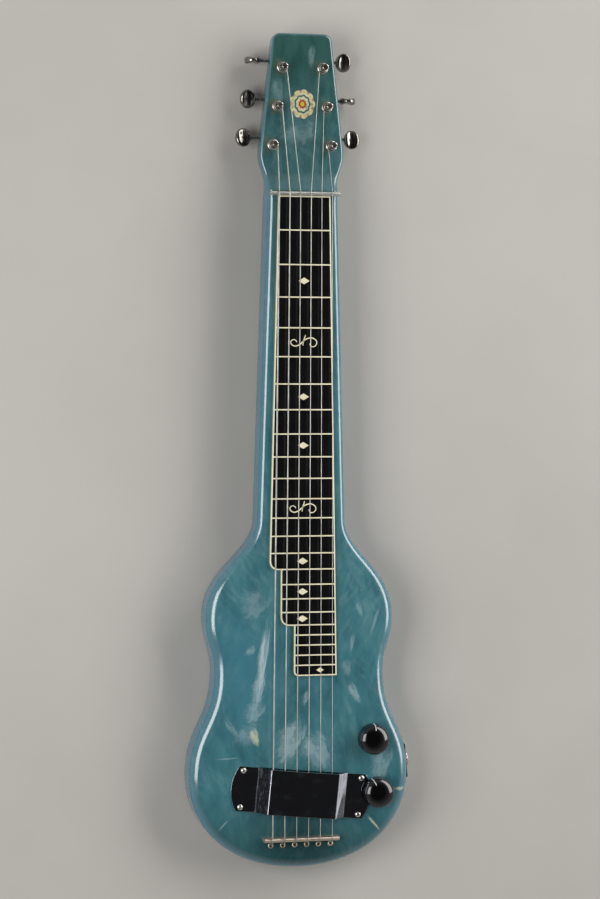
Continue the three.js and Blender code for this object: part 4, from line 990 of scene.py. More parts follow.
def make_front_sheet():
    front = shell([
        *reversed(front_levels(skin.thickness, 4)),
        seam_level(skin.thickness, CLEAR),
        seam_level(0, CLEAR),
        lambda at: (0, bottom_of(at) + back_edge(at) + CLEAR + skin.flat),
        wall_level(0),
        *front_levels(0, 10, skin.flat),
    ])
    pocket_tool = moved(rotated(sheet(
        [rounded_box(pickup.pocket_half, pickup.pocket_reach, screw.head)],
        FACE_TOP - pickup.pocket_depth, FACE_TOP + OVERRUN,
    ), cover.turn, "Z"), (0, along(cover.centre_at), 0))
    bores = [pocket_tool]
    for i in STRINGS:
        bores.append(face_bore(eyelet.sleeve + CLEAR, *anchor(i)))
        bores.append(post_bore(i, HEAD_BACK, HEAD_BORE))
    bores += [face_bore(screw.shank + CLEAR, *place) for place in COVER_SCREWS]
    bores += [face_bore(pot.bushing + CLEAR, place.x, place.y) for place in knob_places.values()]
    bores.append(at_jack(lying(moved(bar(jack.hole, jack.hole_length), (0, 0, -jack.hole_depth)))))
    front = carved(front, together(*bores))
    seat = at_jack(moved(
        block(OVERRUN, jack.length + 2 * CLEAR, jack.width + 2 * CLEAR),
        (OVERRUN / 2 - jack.seat, 0, -jack.width / 2 - CLEAR),
    ))
    front = carved(front, seat)
    settle(front, "pearl_front_sheet", pearl, node="pearloid_front")


def make_back_sheet():
    back = shell([
        *reversed(back_levels(0, 10, skin.flat)),
        seam_level(skin.thickness, 0),
        *back_levels(skin.thickness, 4)[1:],
    ])
    ends = []
    for i in STRINGS:
        ball_seat = bar(string.ball + CLEAR, string.ball_bore)
        ends.append(moved(ball_seat, (*anchor(i), -string.ball_bore_below)))
        ends.append(post_bore(i, 0, BACK_BORE))
    seat = rounded_box(POCKET_HALF + pocket.side + CLEAR, POCKET_REACH + pocket.end + CLEAR, pocket.corner)
    ends.append(sheet(
        [[(x + POCKET_X, y + POCKET_Y) for x, y in seat]],
        -OVERRUN, pocket_cover.sunk + pocket_cover.thickness + CLEAR,
    ))
    back = carved(back, together(*ends))
    settle(back, "pearl_back_sheet", pearl, node="pearloid_back")


# Fretboard


def fret_at(fret):
    if fret <= board.second_fret:
        return SCALE_LENGTH / 2 ** (fret / 12)
    return SCALE_LENGTH / 2 ** (board.second_fret / 12) - (fret - board.second_fret) * board.close_fret


def board_half(at):
    low = fret_at(board.last_fret)
    return share(board.end_half, board.nut_half, (at - low) / (SCALE_LENGTH - low))


BOARD_HEAD = SCALE_LENGTH - nut.width / 2 - CLEAR
STEP_FRETS = (board.first_fret, board.second_fret, board.last_fret)


def board_left(fret, at):
    """The board's bass edge beside a fret space. It steps in twice."""
    if fret <= board.first_fret:
        return -board_half(at)
    return -board.first_step if fret <= board.second_fret else -board.second_step


def board_outline(inset=0.0):
    end = BOARD_HEAD - inset
    steps = [fret_at(fret) - board.line / 2 + inset for fret in STEP_FRETS]
    lefts = [inset - width for width in (board_half(steps[0]), board.first_step, board.second_step)]
    corner = board.corner - inset
    return rounded_outline([
        (inset - board_half(end), along(end), 0),
        (lefts[0], along(steps[0]), corner),
        (lefts[1], along(steps[0]), 0),
        (lefts[1], along(steps[1]), corner),
        (lefts[2], along(steps[1]), 0),
        (lefts[2], along(steps[2]), corner / 2),
        (board_half(steps[2]) - inset, along(steps[2]), 0),
        (board_half(end) - inset, along(end), 0),
    ])


SCROLL_STROKE = ((0.12, 1.6), (0.07, 1.0), (-0.03, 0.2), (-0.06, -0.74))
SCROLL_CURL = (
    (-0.53, 0.04), (-0.60, 0.40), (-0.76, 0.58), (-0.94, 0.33), (-0.98, -0.12), (-0.86, -0.62),
    (-0.62, -0.84), (-0.32, -0.51), (-0.10, 0.04), (0.12, 0.62), (0.40, 0.93), (0.68, 0.92),
    (0.93, 0.42), (0.98, -0.22), (0.84, -0.82), (0.64, -0.96), (0.50, -0.68), (0.45, -0.24),
)


def flowing(points, steps=8):
    """A smooth line through points."""
    line = []
    for i in range(len(points) - 1):
        knots = [Vector(points[min(max(k, 0), len(points) - 1)]) for k in range(i - 1, i + 3)]
        for step in range(steps):
            t = step / steps
            line.append(0.5 * (
                2 * knots[1] + (knots[2] - knots[0]) * t
                + (2 * knots[0] - 5 * knots[1] + 4 * knots[2] - knots[3]) * t ** 2
                + (3 * knots[1] - knots[0] - 3 * knots[2] + knots[3]) * t ** 3
            ))
    return line + [Vector(points[-1])]


def ribbon(points, width):
    """Outline of a brush stroke along a line, thinner at its ends."""
    line = flowing(points)
    left, right = [], []
    for i, point in enumerate(line):
        run = (line[min(i + 1, len(line) - 1)] - line[max(i - 1, 0)]).normalized()
        reach = width / 2 * (0.55 + 0.45 * math.sin(math.pi * i / (len(line) - 1)))
        side = Vector((-run.y, run.x)) * reach
        left.append(point + side)
        right.append(point - side)
    return right + left[::-1]


def board_marks(foot, top):
    """Diamonds, and the two scrolls, as raised islands."""
    parts = []

    def middle(fret):
        return along((fret_at(fret) + fret_at(fret - 1)) / 2)

    def diamond(x, y, size):
        corners = ((mark.half, 0), (0, mark.reach), (-mark.half, 0), (0, -mark.reach))
        parts.append(sheet([[(x + size * a, y + size * b) for a, b in corners]], foot, top))
    for fret in (3, 7, 9, 15, 17, 19):
        diamond(0, middle(fret), 1)
    diamond(0.52 * board_half(fret_at(board.last_fret)), middle(board.last_fret), 0.7)
    for fret in (5, 12):
        for shares in (SCROLL_STROKE, SCROLL_CURL):
            line = [(x * mark.scroll_half, y * mark.scroll_reach) for x, y in shares]
            shape = ribbon(line, mark.scroll_line)
            parts.append(sheet([[(x, y + middle(fret)) for x, y in shape]], foot, top))
    return parts


def fret_windows():
    """Outlines of the fret spaces inside the cream lines."""
    rim = board.line
    turns = dict(zip(STEP_FRETS, (board.corner, board.corner, board.corner / 2)))
    windows = []
    for fret in range(1, board.last_fret + 1):
        near = fret_at(fret) + rim / 2
        far = BOARD_HEAD - rim if fret == 1 else fret_at(fret - 1) - rim / 2
        corner = turns[fret] - rim if fret in turns else 0
        windows.append(rounded_outline([
            (board_left(fret, far) + rim, along(far), 0),
            (board_left(fret, near) + rim, along(near), corner),
            (board_half(near) - rim, along(near), 0),
            (board_half(far) - rim, along(far), 0),
        ]))
    return windows


def make_board():
    sheet_foot = FACE_TOP + board.base
    marks = board_marks(sheet_foot - board.base / 2, BOARD_TOP + board.proud)
    base = together(sheet([board_outline()], FACE_TOP, sheet_foot), *marks)
    settle(base, "board_cream_base", cream_sheet, node="fretboard_cream_layer")
    black = sheet([board_outline()], sheet_foot, BOARD_TOP)
    settle(black, "board_black_sheet", black_sheet, node="fretboard_black_layer")
    outlines = [board_outline(-board.overlap), *fret_windows()]
    lines = sheet(outlines, BOARD_TOP - board.groove, BOARD_TOP + board.proud)
    settle(lines, "board_cream_lines", cream_sheet, node="fret_line_lattice")


# Nut, bridge and eyelets


def crest_bar(sizes, seats):
    """A bar with a rounded crest and a small seat for each string."""
    foot = sizes.width / 2
    crest = [
        (0, foot * math.cos(math.pi * k / 12), sizes.height - foot + foot * math.sin(math.pi * k / 12))
        for k in range(13)
    ]
    bm = drawn([(0, -foot, 0), (0, foot, 0), *crest])
    bm.faces.new(bm.verts[:])
    pushed(bm, bm.faces[:], (sizes.length, 0, 0))
    moved(bm, (-sizes.length / 2, 0, 0))
    eased(bm, 0.35, 2, 60)
    notches = [
        moved(rotated(bar(gauge(i) / 2 + 0.18, 3 * sizes.width, 16), math.pi / 2, "X"),
              (x, 1.5 * sizes.width, sizes.height + gauge(i) / 2 + 0.1))
        for i, x in enumerate(seats)
    ]
    return carved(bm, together(*notches))


def make_bars():
    for node, sizes, span, at, metal in (
        ("nut", nut, string.nut_span, SCALE_LENGTH, nut_metal),
        ("bridge", bridge, string.bridge_span, 0, bridge_metal),
    ):
        made = crest_bar(sizes, [string_across(i, span) for i in STRINGS])
        settle(moved(made, (0, along(at), FACE_TOP)), f"{node}_bar", metal, node=node)


def make_rosette():
    """A thin painted rosette on the head, with a scalloped rim."""
    rim = []
    for step in range(8 * rosette.petals):
        angle = step / (8 * rosette.petals) * FULL
        out = 1 - rosette.scallop + rosette.scallop * math.cos(rosette.petals * angle)
        rim.append((
            out * rosette.half * math.cos(angle),
            ROSETTE_Y + out * rosette.reach * math.sin(angle),
        ))
    disc = sheet([rim], HEAD_FACE, HEAD_FACE + rosette.thickness)
    settle(disc, "head_rosette", painted_rosette)


def make_eyelets():
    e, lip = eyelet, eyelet.height
    profile = [
        (e.bore, -e.length), (e.sleeve, -e.length), (e.sleeve, 0.02), (e.flange - 0.1, 0.02),
        (e.flange, 0.12), (e.flange - 0.08, 0.35 * lip), (e.flange - 0.35, 0.8 * lip),
        (share(e.bore, e.flange, 0.45), lip), (e.bore + 0.18, 0.9 * lip), (e.bore, 0.6 * lip),
    ]
    for i in STRINGS:
        ring = moved(turned(profile, 36, closed=True), (*anchor(i), FACE_TOP))
        settle(ring, f"brass_eyelet_{i + 1}", brass, node=f"string_eyelet_{i + 1}", crease=50)


# Strings


def string_line(i):
    """Points from the ball end up through the eyelet, over bridge and nut, and round the post."""
    radius = gauge(i) / 2
    low = string_across(i, string.bridge_span)
    nut_x = string_across(i, string.nut_span)
    crest = FACE_TOP + bridge.height + string.seat + radius
    nut_crest = FACE_TOP + nut.height + string.seat + radius
    back = along(-bridge.width / 2) - radius - string.seat
    side, x, y = tuner_place(i)
    wrap = tuner.post + CLEAR + radius
    foot = HEAD_FACE + tuner.flange_height + gauge(i)
    start = 0 if side < 0 else math.pi
    winding = []
    for step in range(int(string.steps_per_turn * string.turns) + 1):
        turns = step / string.steps_per_turn
        angle = start - side * FULL * turns
        round_post = (x + wrap * math.cos(angle), y + wrap * math.sin(angle))
        winding.append(Vector((*round_post, foot + string.pitch * turns)))
    return [
        Vector((low, ANCHOR_Y, skin.thickness + string.ball_length / 2)),
        Vector((low, ANCHOR_Y, FACE_TOP)),
        Vector((low, ANCHOR_Y + string.bend / 4, FACE_TOP + string.bend)),
        Vector((low, back - 0.15, crest - string.bend)),
        Vector((low, back + 0.15, crest - 0.75 * string.bend)),
        Vector((low, along(-bridge.width / 4) - 0.45, crest - 0.3)),
        Vector((low, along(-bridge.width / 4), crest - 0.05)),
        Vector((low, along(0), crest)),
        Vector((nut_x, along(SCALE_LENGTH), nut_crest)),
        Vector((nut_x, along(SCALE_LENGTH + nut.width / 4), nut_crest - 0.3 * radius)),
        Vector((nut_x, along(SCALE_LENGTH + nut.width / 2), nut_crest - radius)),
        *winding,
    ]


def wire(points, radius):
    """A round wire along points, as a mesh."""
    line = bpy.data.curves.new("wire", "CURVE")
    line.dimensions = "3D"
    line.bevel_depth = radius
    line.bevel_resolution = 3
    line.use_fill_caps = True
    spline = line.splines.new("POLY")
    spline.points.add(len(points) - 1)
    for knot, point in zip(spline.points, points):
        knot.co = (*point, 1)
    carrier = bpy.data.objects.new("wire", line)
    bpy.context.collection.objects.link(carrier)
    bpy.context.view_layer.update()
    mesh = bpy.data.meshes.new_from_object(carrier)
    bm = bmesh.new()
    bm.from_mesh(mesh)
    bpy.data.meshes.remove(mesh)
    bpy.data.objects.remove(carrier)
    bpy.data.curves.remove(line)
    bmesh.ops.remove_doubles(bm, verts=bm.verts, dist=1e-4)
    bmesh.ops.recalc_face_normals(bm, faces=bm.faces)
    return bm


def make_strings():
    reach, tall = string.ball, string.ball_length
    ball = [
        (0, 0), (reach - 0.5, 0), (reach, 0.4), (reach - 0.35, tall / 2),
        (reach, tall - 0.4), (reach - 0.5, tall), (0, tall),
    ]
    for i in STRINGS:
        end = moved(turned(ball, 32), (*anchor(i), skin.thickness))
        run = together(wire(string_line(i), gauge(i) / 2), end)
        metal = wound_steel if i < WOUND_STRINGS else plain_steel
        settle(run, f"string_run_{i + 1}", metal, node=f"string_{i + 1}", crease=60)


# Tuners, drawn for the treble side with the post on the origin of X and Y, and flipped for the bass side


BUTTON_WAIST = ((-1, 0.84), (-0.72, 0.92), (-0.2, 0.6), (0.0, 0.62), (0.72, 1), (1, 0.94))
BUTTON_CROWN = 0.25


def waist_at(out):
    """Half thickness of a button as a share, along its way out from the stem."""
    for (low, first), (high, second) in zip(BUTTON_WAIST, BUTTON_WAIST[1:]):
        if out <= high:
            return share(first, second, smooth(part_of(out, low, high)))
    return BUTTON_WAIST[-1][1]


def button():
    """An oval button, waisted seen from its edge, with rounded rims."""
    bm = bmesh.new()
    bmesh.ops.create_uvsphere(bm, u_segments=48, v_segments=28, radius=1)
    for corner in bm.verts:
        x, y, z = corner.co
        round_share = math.hypot(x, y)
        spread = round_share ** 0.4 / round_share if round_share > 1e-6 else 0
        out, side = x * spread, y * spread
        rise = math.copysign(abs(z) ** 0.5, z)
        thick = tuner.button_end * waist_at(out) * (1 - BUTTON_CROWN * side * side)
        corner.co = (out * tuner.button_half, side * tuner.button_reach, rise * thick)
    bmesh.ops.recalc_face_normals(bm, faces=bm.faces)
    return moved(bm, (tuner.button_at, 0, 0))


def worm_thread():
    """The worm's ridge, spun along its axis. It faces the wheel in the middle of its length."""
    per_turn = 24
    turns = 2 * tuner.worm_half / WORM_LEAD - 0.6
    steps = round(per_turn * turns)
    buried = tuner.worm_root - CLEAR
    start = math.pi - math.pi * turns
    first = -turns / 2 * WORM_LEAD
    section = ((first - 0.25 * WORM_LEAD, buried), (first - 0.03 * WORM_LEAD, tuner.worm_tip),
               (first + 0.03 * WORM_LEAD, tuner.worm_tip), (first + 0.25 * WORM_LEAD, buried))
    bm = drawn([(x, r * math.cos(start), r * math.sin(start)) for x, r in section])
    end = bm.faces.new(bm.verts[:])
    bmesh.ops.spin(
        bm, geom=[end], cent=(0, 0, 0), axis=(1, 0, 0), dvec=(WORM_LEAD / per_turn, 0, 0),
        angle=FULL * steps / per_turn, steps=steps,
    )
    bmesh.ops.recalc_face_normals(bm, faces=bm.faces)
    return bm


def tuner_key(turn):
    lug_outer = tuner.worm_half + 2 * CLEAR + tuner.lug
    shaft_half = lug_outer + tuner.collar_length
    stem_end = tuner.button_at - tuner.button_half + tuner.stem
    shaft, worm, collar, stem, rim = tuner.shaft, tuner.worm_root, tuner.collar, tuner.stem, 0.2
    waist = stem - 0.25
    spindle = turned([
        (0, -shaft_half), (shaft - rim, -shaft_half), (shaft, rim - shaft_half),
        (shaft, -tuner.worm_half), (worm, -tuner.worm_half), (worm, tuner.worm_half),
        (shaft, tuner.worm_half), (shaft, lug_outer), (collar - rim, lug_outer),
        (collar, lug_outer + rim), (collar, shaft_half - rim), (collar - rim, shaft_half),
        (stem, shaft_half), (waist, share(shaft_half, stem_end, 0.4)),
        (waist, share(shaft_half, stem_end, 0.65)), (stem, stem_end - 1.6), (stem, stem_end), (0, stem_end),
    ], 32)
    return together(lying(spindle), worm_thread(), rotated(button(), math.radians(turn), "X"))


def worm_wheel():
    """The toothed wheel, whose teeth lean along its height."""
    corners = []
    for tooth in range(tuner.teeth):
        for pitch_share, rise in ((-0.25, 0), (-0.07, 1), (0.07, 1), (0.25, 0)):
            angle = math.pi / 2 + (tooth + 0.5 + pitch_share) / tuner.teeth * FULL
            radius = share(tuner.gear_root, tuner.gear_tip, rise)
            corners.append((radius * math.cos(angle), radius * math.sin(angle), -tuner.gear_height / 2))
    bm = drawn(corners)
    face = bm.faces.new(bm.verts[:])
    twist = tuner.gear_height * WORM_LEAD / (FULL * tuner.worm_pitch) / tuner.gear_pitch
    rotated(bm, -twist / 2, "Z")
    steps = 4
    faces = [face]
    for _ in range(steps):
        raised = bmesh.ops.extrude_face_region(bm, geom=faces)["geom"]
        tops = corners_in(raised)
        bmesh.ops.translate(bm, vec=(0, 0, tuner.gear_height / steps), verts=tops)
        bmesh.ops.rotate(bm, cent=(0, 0, 0), matrix=Matrix.Rotation(twist / steps, 3, "Z"), verts=tops)
        faces = faces_in(raised)
    bmesh.ops.recalc_face_normals(bm, faces=bm.faces)
    return bm


def tuner_post():
    cap_foot = WORM_HEIGHT - tuner.gear_height / 2 - tuner.cap_height
    top = HEAD_FACE + tuner.above
    r = tuner.post
    post = turned([
        (0, cap_foot), (tuner.cap - 0.3, cap_foot), (tuner.cap, cap_foot + 0.3),
        (tuner.cap, WORM_HEIGHT), (tuner.shoulder, WORM_HEIGHT),
        (tuner.shoulder, PLATE_BOTTOM - CLEAR), (r, PLATE_BOTTOM - CLEAR),
        (r, top - 3.2), (r - 0.35, top - 2.7), (r - 0.35, top - 2.0), (r, top - 1.5),
        (r, top - 0.5), (r - 0.12, top - 0.2), (r - 0.45, top), (0, top),
    ], 40)
    hole = moved(lying(bar(tuner.string_hole, 4 * r, 24)), (-2 * r, 0, top - tuner.string_hole_down))
    slot = moved(block(4 * r, 0.9, 2), (0, 0, top - 1.1))
    post = carved(post, together(hole, slot))
    return together(eased(post, 0.12, 2, 50), moved(worm_wheel(), (0, 0, WORM_HEIGHT)))


def tuner_bushing():
    bore = tuner.post + CLEAR
    sleeve = bore + tuner.wall
    f, h = tuner.flange, tuner.flange_height
    return turned([
        (bore, -tuner.sleeve), (sleeve, -tuner.sleeve), (sleeve, 0.02), (f - 0.15, 0.02), (f, 0.18),
        (f - 0.05, 0.4 * h), (f - 0.4, 0.82 * h), (f - 1.0, h), (bore + 0.25, h), (bore, h - 0.2),
    ], 48, closed=True)


def bearing_lug():
    """An upright lug with the worm shaft's bore and two rounded lower corners."""
    lug = block(tuner.lug, 2 * tuner.lug_reach, tuner.lug_drop + 0.4)
    height = WORM_HEIGHT - PLATE_BOTTOM + tuner.lug_drop
    bore = moved(lying(bar(tuner.shaft + CLEAR, 8, 24)), (-4, 0, height))
    corners = []
    for edge in lug.edges:
        first, second = (corner.co for corner in edge.verts)
        if max(first.z, second.z) < 0.1 and abs(first.y - second.y) < 0.1:
            corners.append(edge)
    bmesh.ops.bevel(lug, geom=corners, offset=1.8, affect="EDGES", segments=5, profile=0.5, material=-1)
    return eased(carved(lug, bore), 0.15, 2, 60)


def tuner_plate(side):
    """A plate for the three tuners of one side, with bearing lugs."""
    places = posts_on(side)
    low, high = places[0], places[-1]
    corner = 8 * CLEAR
    outline = rounded_outline([
        (low[0] - tuner.plate_half, low[1] - tuner.plate_end, corner),
        (low[0] + tuner.plate_half, low[1] - tuner.plate_end, corner),
        (high[0] + tuner.plate_half, high[1] + tuner.plate_end, corner),
        (high[0] - tuner.plate_half, high[1] + tuner.plate_end, corner),
    ])
    parts = [eased(sheet([outline], PLATE_BOTTOM, HEAD_BACK), 0.25, 2, 60)]
    reach = tuner.worm_half + CLEAR + tuner.lug / 2
    for x, y in places:
        for end in (-1, 1):
            lug_place = (x + end * reach, y + WORM_OFFSET, PLATE_BOTTOM - tuner.lug_drop)
            parts.append(moved(bearing_lug(), lug_place))
    return together(*parts)


def fixing_screws(side):
    """Small domed screws that hold a tuner plate to the head."""
    places = posts_on(side)
    spots = []
    for (x, y), (next_x, next_y) in zip(places, places[1:]):
        spots.append((share(x, next_x, 0.66), share(y, next_y, 0.66)))
    spots.append((places[0][0], places[0][1] - 0.75 * tuner.plate_end))
    parts = []
    for k, (x, y) in enumerate(spots):
        dome = rotated(domed_screw(0.72, 4), math.pi, "X")
        parts.append(moved(rotated(dome, 0.7 * k + 0.4, "Z"), (x, y, PLATE_BOTTOM)))
    return together(*parts)


def make_tuners():
    for i in STRINGS:
        side, x, y = tuner_place(i)
        key = tuner_key(BUTTON_TURNS[i])
        post = tuner_post()
        if side < 0:
            flipped(key)
            flipped(post)
        moved(key, (x, y + WORM_OFFSET, WORM_HEIGHT))
        moved(post, (x, y, 0))
        n = i + 1
        settle(key, f"worm_key_{n}", button_nickel_in_shade, f"key_{n}", f"tuner_key_{n}", 40)
        settle(post, f"string_post_{n}", nickel, f"post_{n}", f"tuner_post_{n}", 40)
        ring = moved(tuner_bushing(), (x, y, HEAD_FACE))
        settle(ring, f"post_bushing_{n}", nickel, node=f"tuner_bushing_{n}", crease=45)
    for side, name in ((-1, "bass"), (1, "treble")):
        plate = tuner_plate(side)
        settle(plate, f"worm_plate_{name}", nickel, node=f"tuner_plate_{name}", crease=40)
        settle_screw(fixing_screws(side), f"worm_plate_screws_{name}")


# Pickup cover and screws


def domed_screw(size=1.0, shank=10.0):
    """A slotted round-head screw standing on z = 0."""
    r, h = screw.head * size, screw.height * size
    core = screw.shank * size
    turns = [k * math.pi / 16 for k in range(8)]
    dome = [(r * math.cos(a), 0.22 * h + 0.78 * h * math.sin(a)) for a in turns]
    body = turned([(0, -shank), (core, 1.5 - shank), (core, 0), (r - 0.15, 0), (r, 0.1), *dome, (0, h)], 40)
    slot = moved(block(3 * r, screw.slot * size, h), (0, 0, h - screw.slot_depth * size))
    return eased(carved(body, slot), 0.08, 1, 60)


def pickup_cover():
    reach = cover.width / 2
    swing = (reach ** 2 + cover.bulge ** 2) / (2 * cover.bulge)
    sweep = math.asin(reach / swing)
    middle = cover.wing + cover.bulge - swing
    turns = [share(-sweep, sweep, k / 24) for k in range(25)]
    arc = [(middle + swing * math.cos(a), swing * math.sin(a)) for a in turns]
    plan = sheet([arc + [(-x, -y) for x, y in arc]], -OVERRUN, cover.rise + 3 * cover.plate)
    end = cover.wing + cover.bulge + OVERRUN
    p, rise, crest, foot = cover.plate, cover.rise, cover.crest, cover.foot
    lean = p * math.tan(math.atan2(rise, foot - crest) / 2)
    profile = [
        (-end, 0), (-foot, 0), (-crest + lean, rise), (crest - lean, rise), (foot, 0), (end, 0),
        (end, p), (foot - lean, p), (crest, rise + p), (-crest, rise + p), (-foot + lean, p), (-end, p),
    ]
    fold = drawn([(x, -reach - OVERRUN, z) for x, z in profile])
    fold.faces.new(fold.verts[:])
    pushed(fold, fold.faces[:], (0, 2 * (reach + OVERRUN), 0))
    bends = [
        e for e in fold.edges
        if abs(e.verts[0].co.y - e.verts[1].co.y) > reach and abs(e.verts[0].co.x) < end - OVERRUN
    ]
    bmesh.ops.bevel(fold, geom=bends, offset=0.9, affect="EDGES", segments=4, profile=0.5, material=-1)
    holes = [
        moved(bar(screw.shank + CLEAR, 6, 24), (sx * cover.screw_along, sy * cover.screw_across, -OVERRUN))
        for sx in (-1, 1) for sy in (-1, 1)
    ]
    plate = eased(carved(carved(fold, plan, "INTERSECT"), together(*holes)), 0.38, 2, 55)
    return moved(rotated(plate, cover.turn, "Z"), (0, along(cover.centre_at), FACE_TOP))


def make_cover():
    settle(pickup_cover(), "bent_pickup_cover", chrome, node="pickup_cover", crease=40)
    for i, (place, turn) in enumerate(zip(COVER_SCREWS, (0.5, 1.3, 2.2, 0.2))):
        body = moved(rotated(domed_screw(), turn, "Z"), (*place, FACE_TOP + cover.plate))
        settle_screw(body, f"domed_cover_screw_{i + 1}", f"cover_screw_{i + 1}")


# Knobs


POINTER_TURNS = {"volume": 0.0, "tone": 27.0}


def knob_dome(r):
    """Height of the knob's top at a radius."""
    t = part_of(r, 0, knob.shoulder)
    return knob.side + (knob.height - knob.side) * math.sqrt(max(0, 1 - t * t))


def knob_body():
    foot = -knob.shaft_below - KNOB_LIFT
    side = [
        (knob.radius - 0.5, 0), (knob.radius - 0.12, 0.12), (knob.radius, 0.5), (knob.radius, 1.2),
        (share(knob.radius, knob.shoulder, 0.3), 3.4), (share(knob.radius, knob.shoulder, 0.75), 6.6),
    ]
    dome = [
        (knob.shoulder * math.cos(a), knob.side + (knob.height - knob.side) * math.sin(a))
        for a in (k * math.pi / 2 / 14 for k in range(14))
    ]
    return turned([
        (0, foot), (knob.shaft, foot), (knob.shaft, knob.recess_height), (knob.recess, knob.recess_height),
        (knob.recess, 0), *side, *dome, (0, knob.height),
    ], 72)


def knob_pointer():
    """A thin white line over the dome's rim and down the knob's side."""
    line = [(0, r, knob_dome(r) - 0.25) for r in (8.8, 9.8, 10.8, 11.6, 12.3, 12.9)]
    line += [(0, knob.shoulder + 0.08, 6.5), (0, knob.radius - 0.2, 3.2)]
    bm = drawn(line, closed=False)
    bmesh.ops.translate(bm, vec=(-knob.pointer_width / 2, 0, 0), verts=bm.verts)
    raised = bmesh.ops.extrude_edge_only(bm, edges=bm.edges[:])["geom"]
    bmesh.ops.translate(bm, vec=(knob.pointer_width, 0, 0), verts=corners_in(raised))
    bmesh.ops.recalc_face_normals(bm, faces=bm.faces)
    bmesh.ops.solidify(bm, geom=bm.faces[:], thickness=-knob.pointer_depth)
    bmesh.ops.recalc_face_normals(bm, faces=bm.faces)
    return bm


def make_knobs():
    for name, place in knob_places.items():
        turn = math.radians(POINTER_TURNS[name])
        body = moved(rotated(knob_body(), turn, "Z"), place)
        settle(body, f"domed_{name}_knob", bakelite, name, f"{name}_knob", 40)
        line = moved(rotated(knob_pointer(), turn, "Z"), place)
        settle(line, f"{name}_pointer_line", white_line, name, crease=40)


# Back cover over the control pocket


def countersunk_screw():
    r, h = flat_screw.head, flat_screw.height
    core, tip = flat_screw.shank, flat_screw.length
    body = turned([
        (0, 0), (r - 0.1, 0), (r, 0.1), (r, 0.3), (core, h + 0.3), (core, tip - 1), (0, tip),
    ], 40)
    slot = moved(block(3 * r, screw.slot, 1), (0, 0, -0.5))
    return eased(carved(body, slot), 0.06, 1, 60)


def make_pocket_cover():
    outline = rounded_box(POCKET_HALF + pocket.side, POCKET_REACH + pocket.end, pocket.corner)
    foot, top = pocket_cover.sunk, pocket_cover.sunk + pocket_cover.thickness
    plate = moved(sheet([outline], foot, top), (POCKET_X, POCKET_Y, 0))
    spots = [(POCKET_X, POCKET_Y + side * (POCKET_REACH + pocket.end / 2)) for side in (-1, 1)]
    wide, narrow = flat_screw.head + CLEAR, flat_screw.shank + CLEAR
    sink = [(0, -1), (wide, -1), (wide, foot + 0.3), (narrow, foot + 1.3), (narrow, 4), (0, 4)]
    sinks = [moved(turned(sink, 32), (x, y, 0)) for x, y in spots]
    plate = eased(carved(plate, together(*sinks)), 0.2, 2, 50)
    settle(
        plate, "control_pocket_plate", pocket_sheet, node="control_pocket_cover",
        crease=40,
    )
    for i, (x, y) in enumerate(spots):
        body = moved(rotated(countersunk_screw(), 0.6 + 0.9 * i, "Z"), (x, y, foot))
        settle_screw(body, f"pocket_plate_screw_{i + 1}", f"pocket_cover_screw_{i + 1}")


# Output jack


def make_jack():
    outside = JACK_FACE + jack.plate
    outline = rounded_box(jack.length / 2, jack.width / 2, 1.2)
    plate = sheet([outline], 0, jack.plate)
    holes = [moved(bar(jack.bushing + CLEAR, 6), (0, 0, -2))]
    holes += [moved(bar(screw.shank + CLEAR, 6, 24), (side * jack.screw_along, 0, -2)) for side in (-1, 1)]
    plate = eased(carved(plate, together(*holes)), 0.25, 2, 50)
    plate = moved(lying(rotated(plate, math.pi / 2, "Z")), (JACK_FACE, 0, 0))
    settle(at_jack(plate), "side_jack_plate", jack_chrome, node="jack_plate", crease=40)

    nut_foot, nut_face = outside + CLEAR, outside + CLEAR + jack.nut_height
    flange_face = JACK_FACE - CLEAR
    tail = flange_face - jack.barrel_length
    socket = turned([
        (jack.bore, nut_face + 0.05), (jack.bore - 0.1, nut_face - 0.3), (jack.bore, tail),
        (jack.barrel, tail), (jack.barrel, flange_face - jack.wall),
        (jack.flange, flange_face - jack.wall), (jack.flange, flange_face), (jack.bushing, flange_face),
        (jack.bushing, nut_face - 0.15), (jack.bushing - 0.3, nut_face + 0.05),
    ], 48, closed=True)
    inner, outer = jack.bushing - 0.1, nut_face - 0.1
    section = [(inner, nut_foot), (jack.nut, nut_foot), (jack.nut, outer), (inner, outer)]
    hexagon = turned(section, 6, closed=True)
    eased(hexagon, 0.25, 2, 50)
    made = at_jack(lying(together(socket, hexagon)))
    settle(made, "side_output_jack", nickel, node="output_jack", crease=40)
    for i, side in enumerate((-1, 1)):
        fastener = lying(rotated(domed_screw(), 0.5 + i, "Z"))
        moved(fastener, (outside, side * jack.screw_along, 0))
        settle_screw(at_jack(fastener), f"side_plate_screw_{i + 1}", f"jack_plate_screw_{i + 1}")


# Solids that keep their shape and get their finish here


KEPT = {
    "wood_body": bare_wood,
    "volume_pot": nickel,
    "tone_pot": nickel,
    "tone_capacitor": waxed_paper,
    "pickup_lead": lead_cloth,
    "pickup_coil": copper_winding,
    "pickup_magnet": magnet_steel,
}


def dress_kept_solids():
    for name, finish in KEPT.items():
        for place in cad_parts[name].material_slots:
            place.material = finish


# Floor, light and camera


def floor_finish():
    f = Finish("pale_floor", roughness=0.85)
    grain = f.span(f.noise(3, 4, 0.6), 0.3, 0.7)
    f.colour(f.blend(grain, (0.445, 0.425, 0.395), (0.480, 0.460, 0.430)))
    return f.material


def make_floor():
    bm = bmesh.new()
    bmesh.ops.create_grid(bm, x_segments=8, y_segments=8, size=6)
    mesh = bpy.data.meshes.new("studio_floor")
    bm.to_mesh(mesh)
    bm.free()
    mesh.materials.append(floor_finish())
    floor = bpy.data.objects.new("studio_floor", mesh)
    floor.location.z = -0.002
    bpy.context.collection.objects.link(floor)


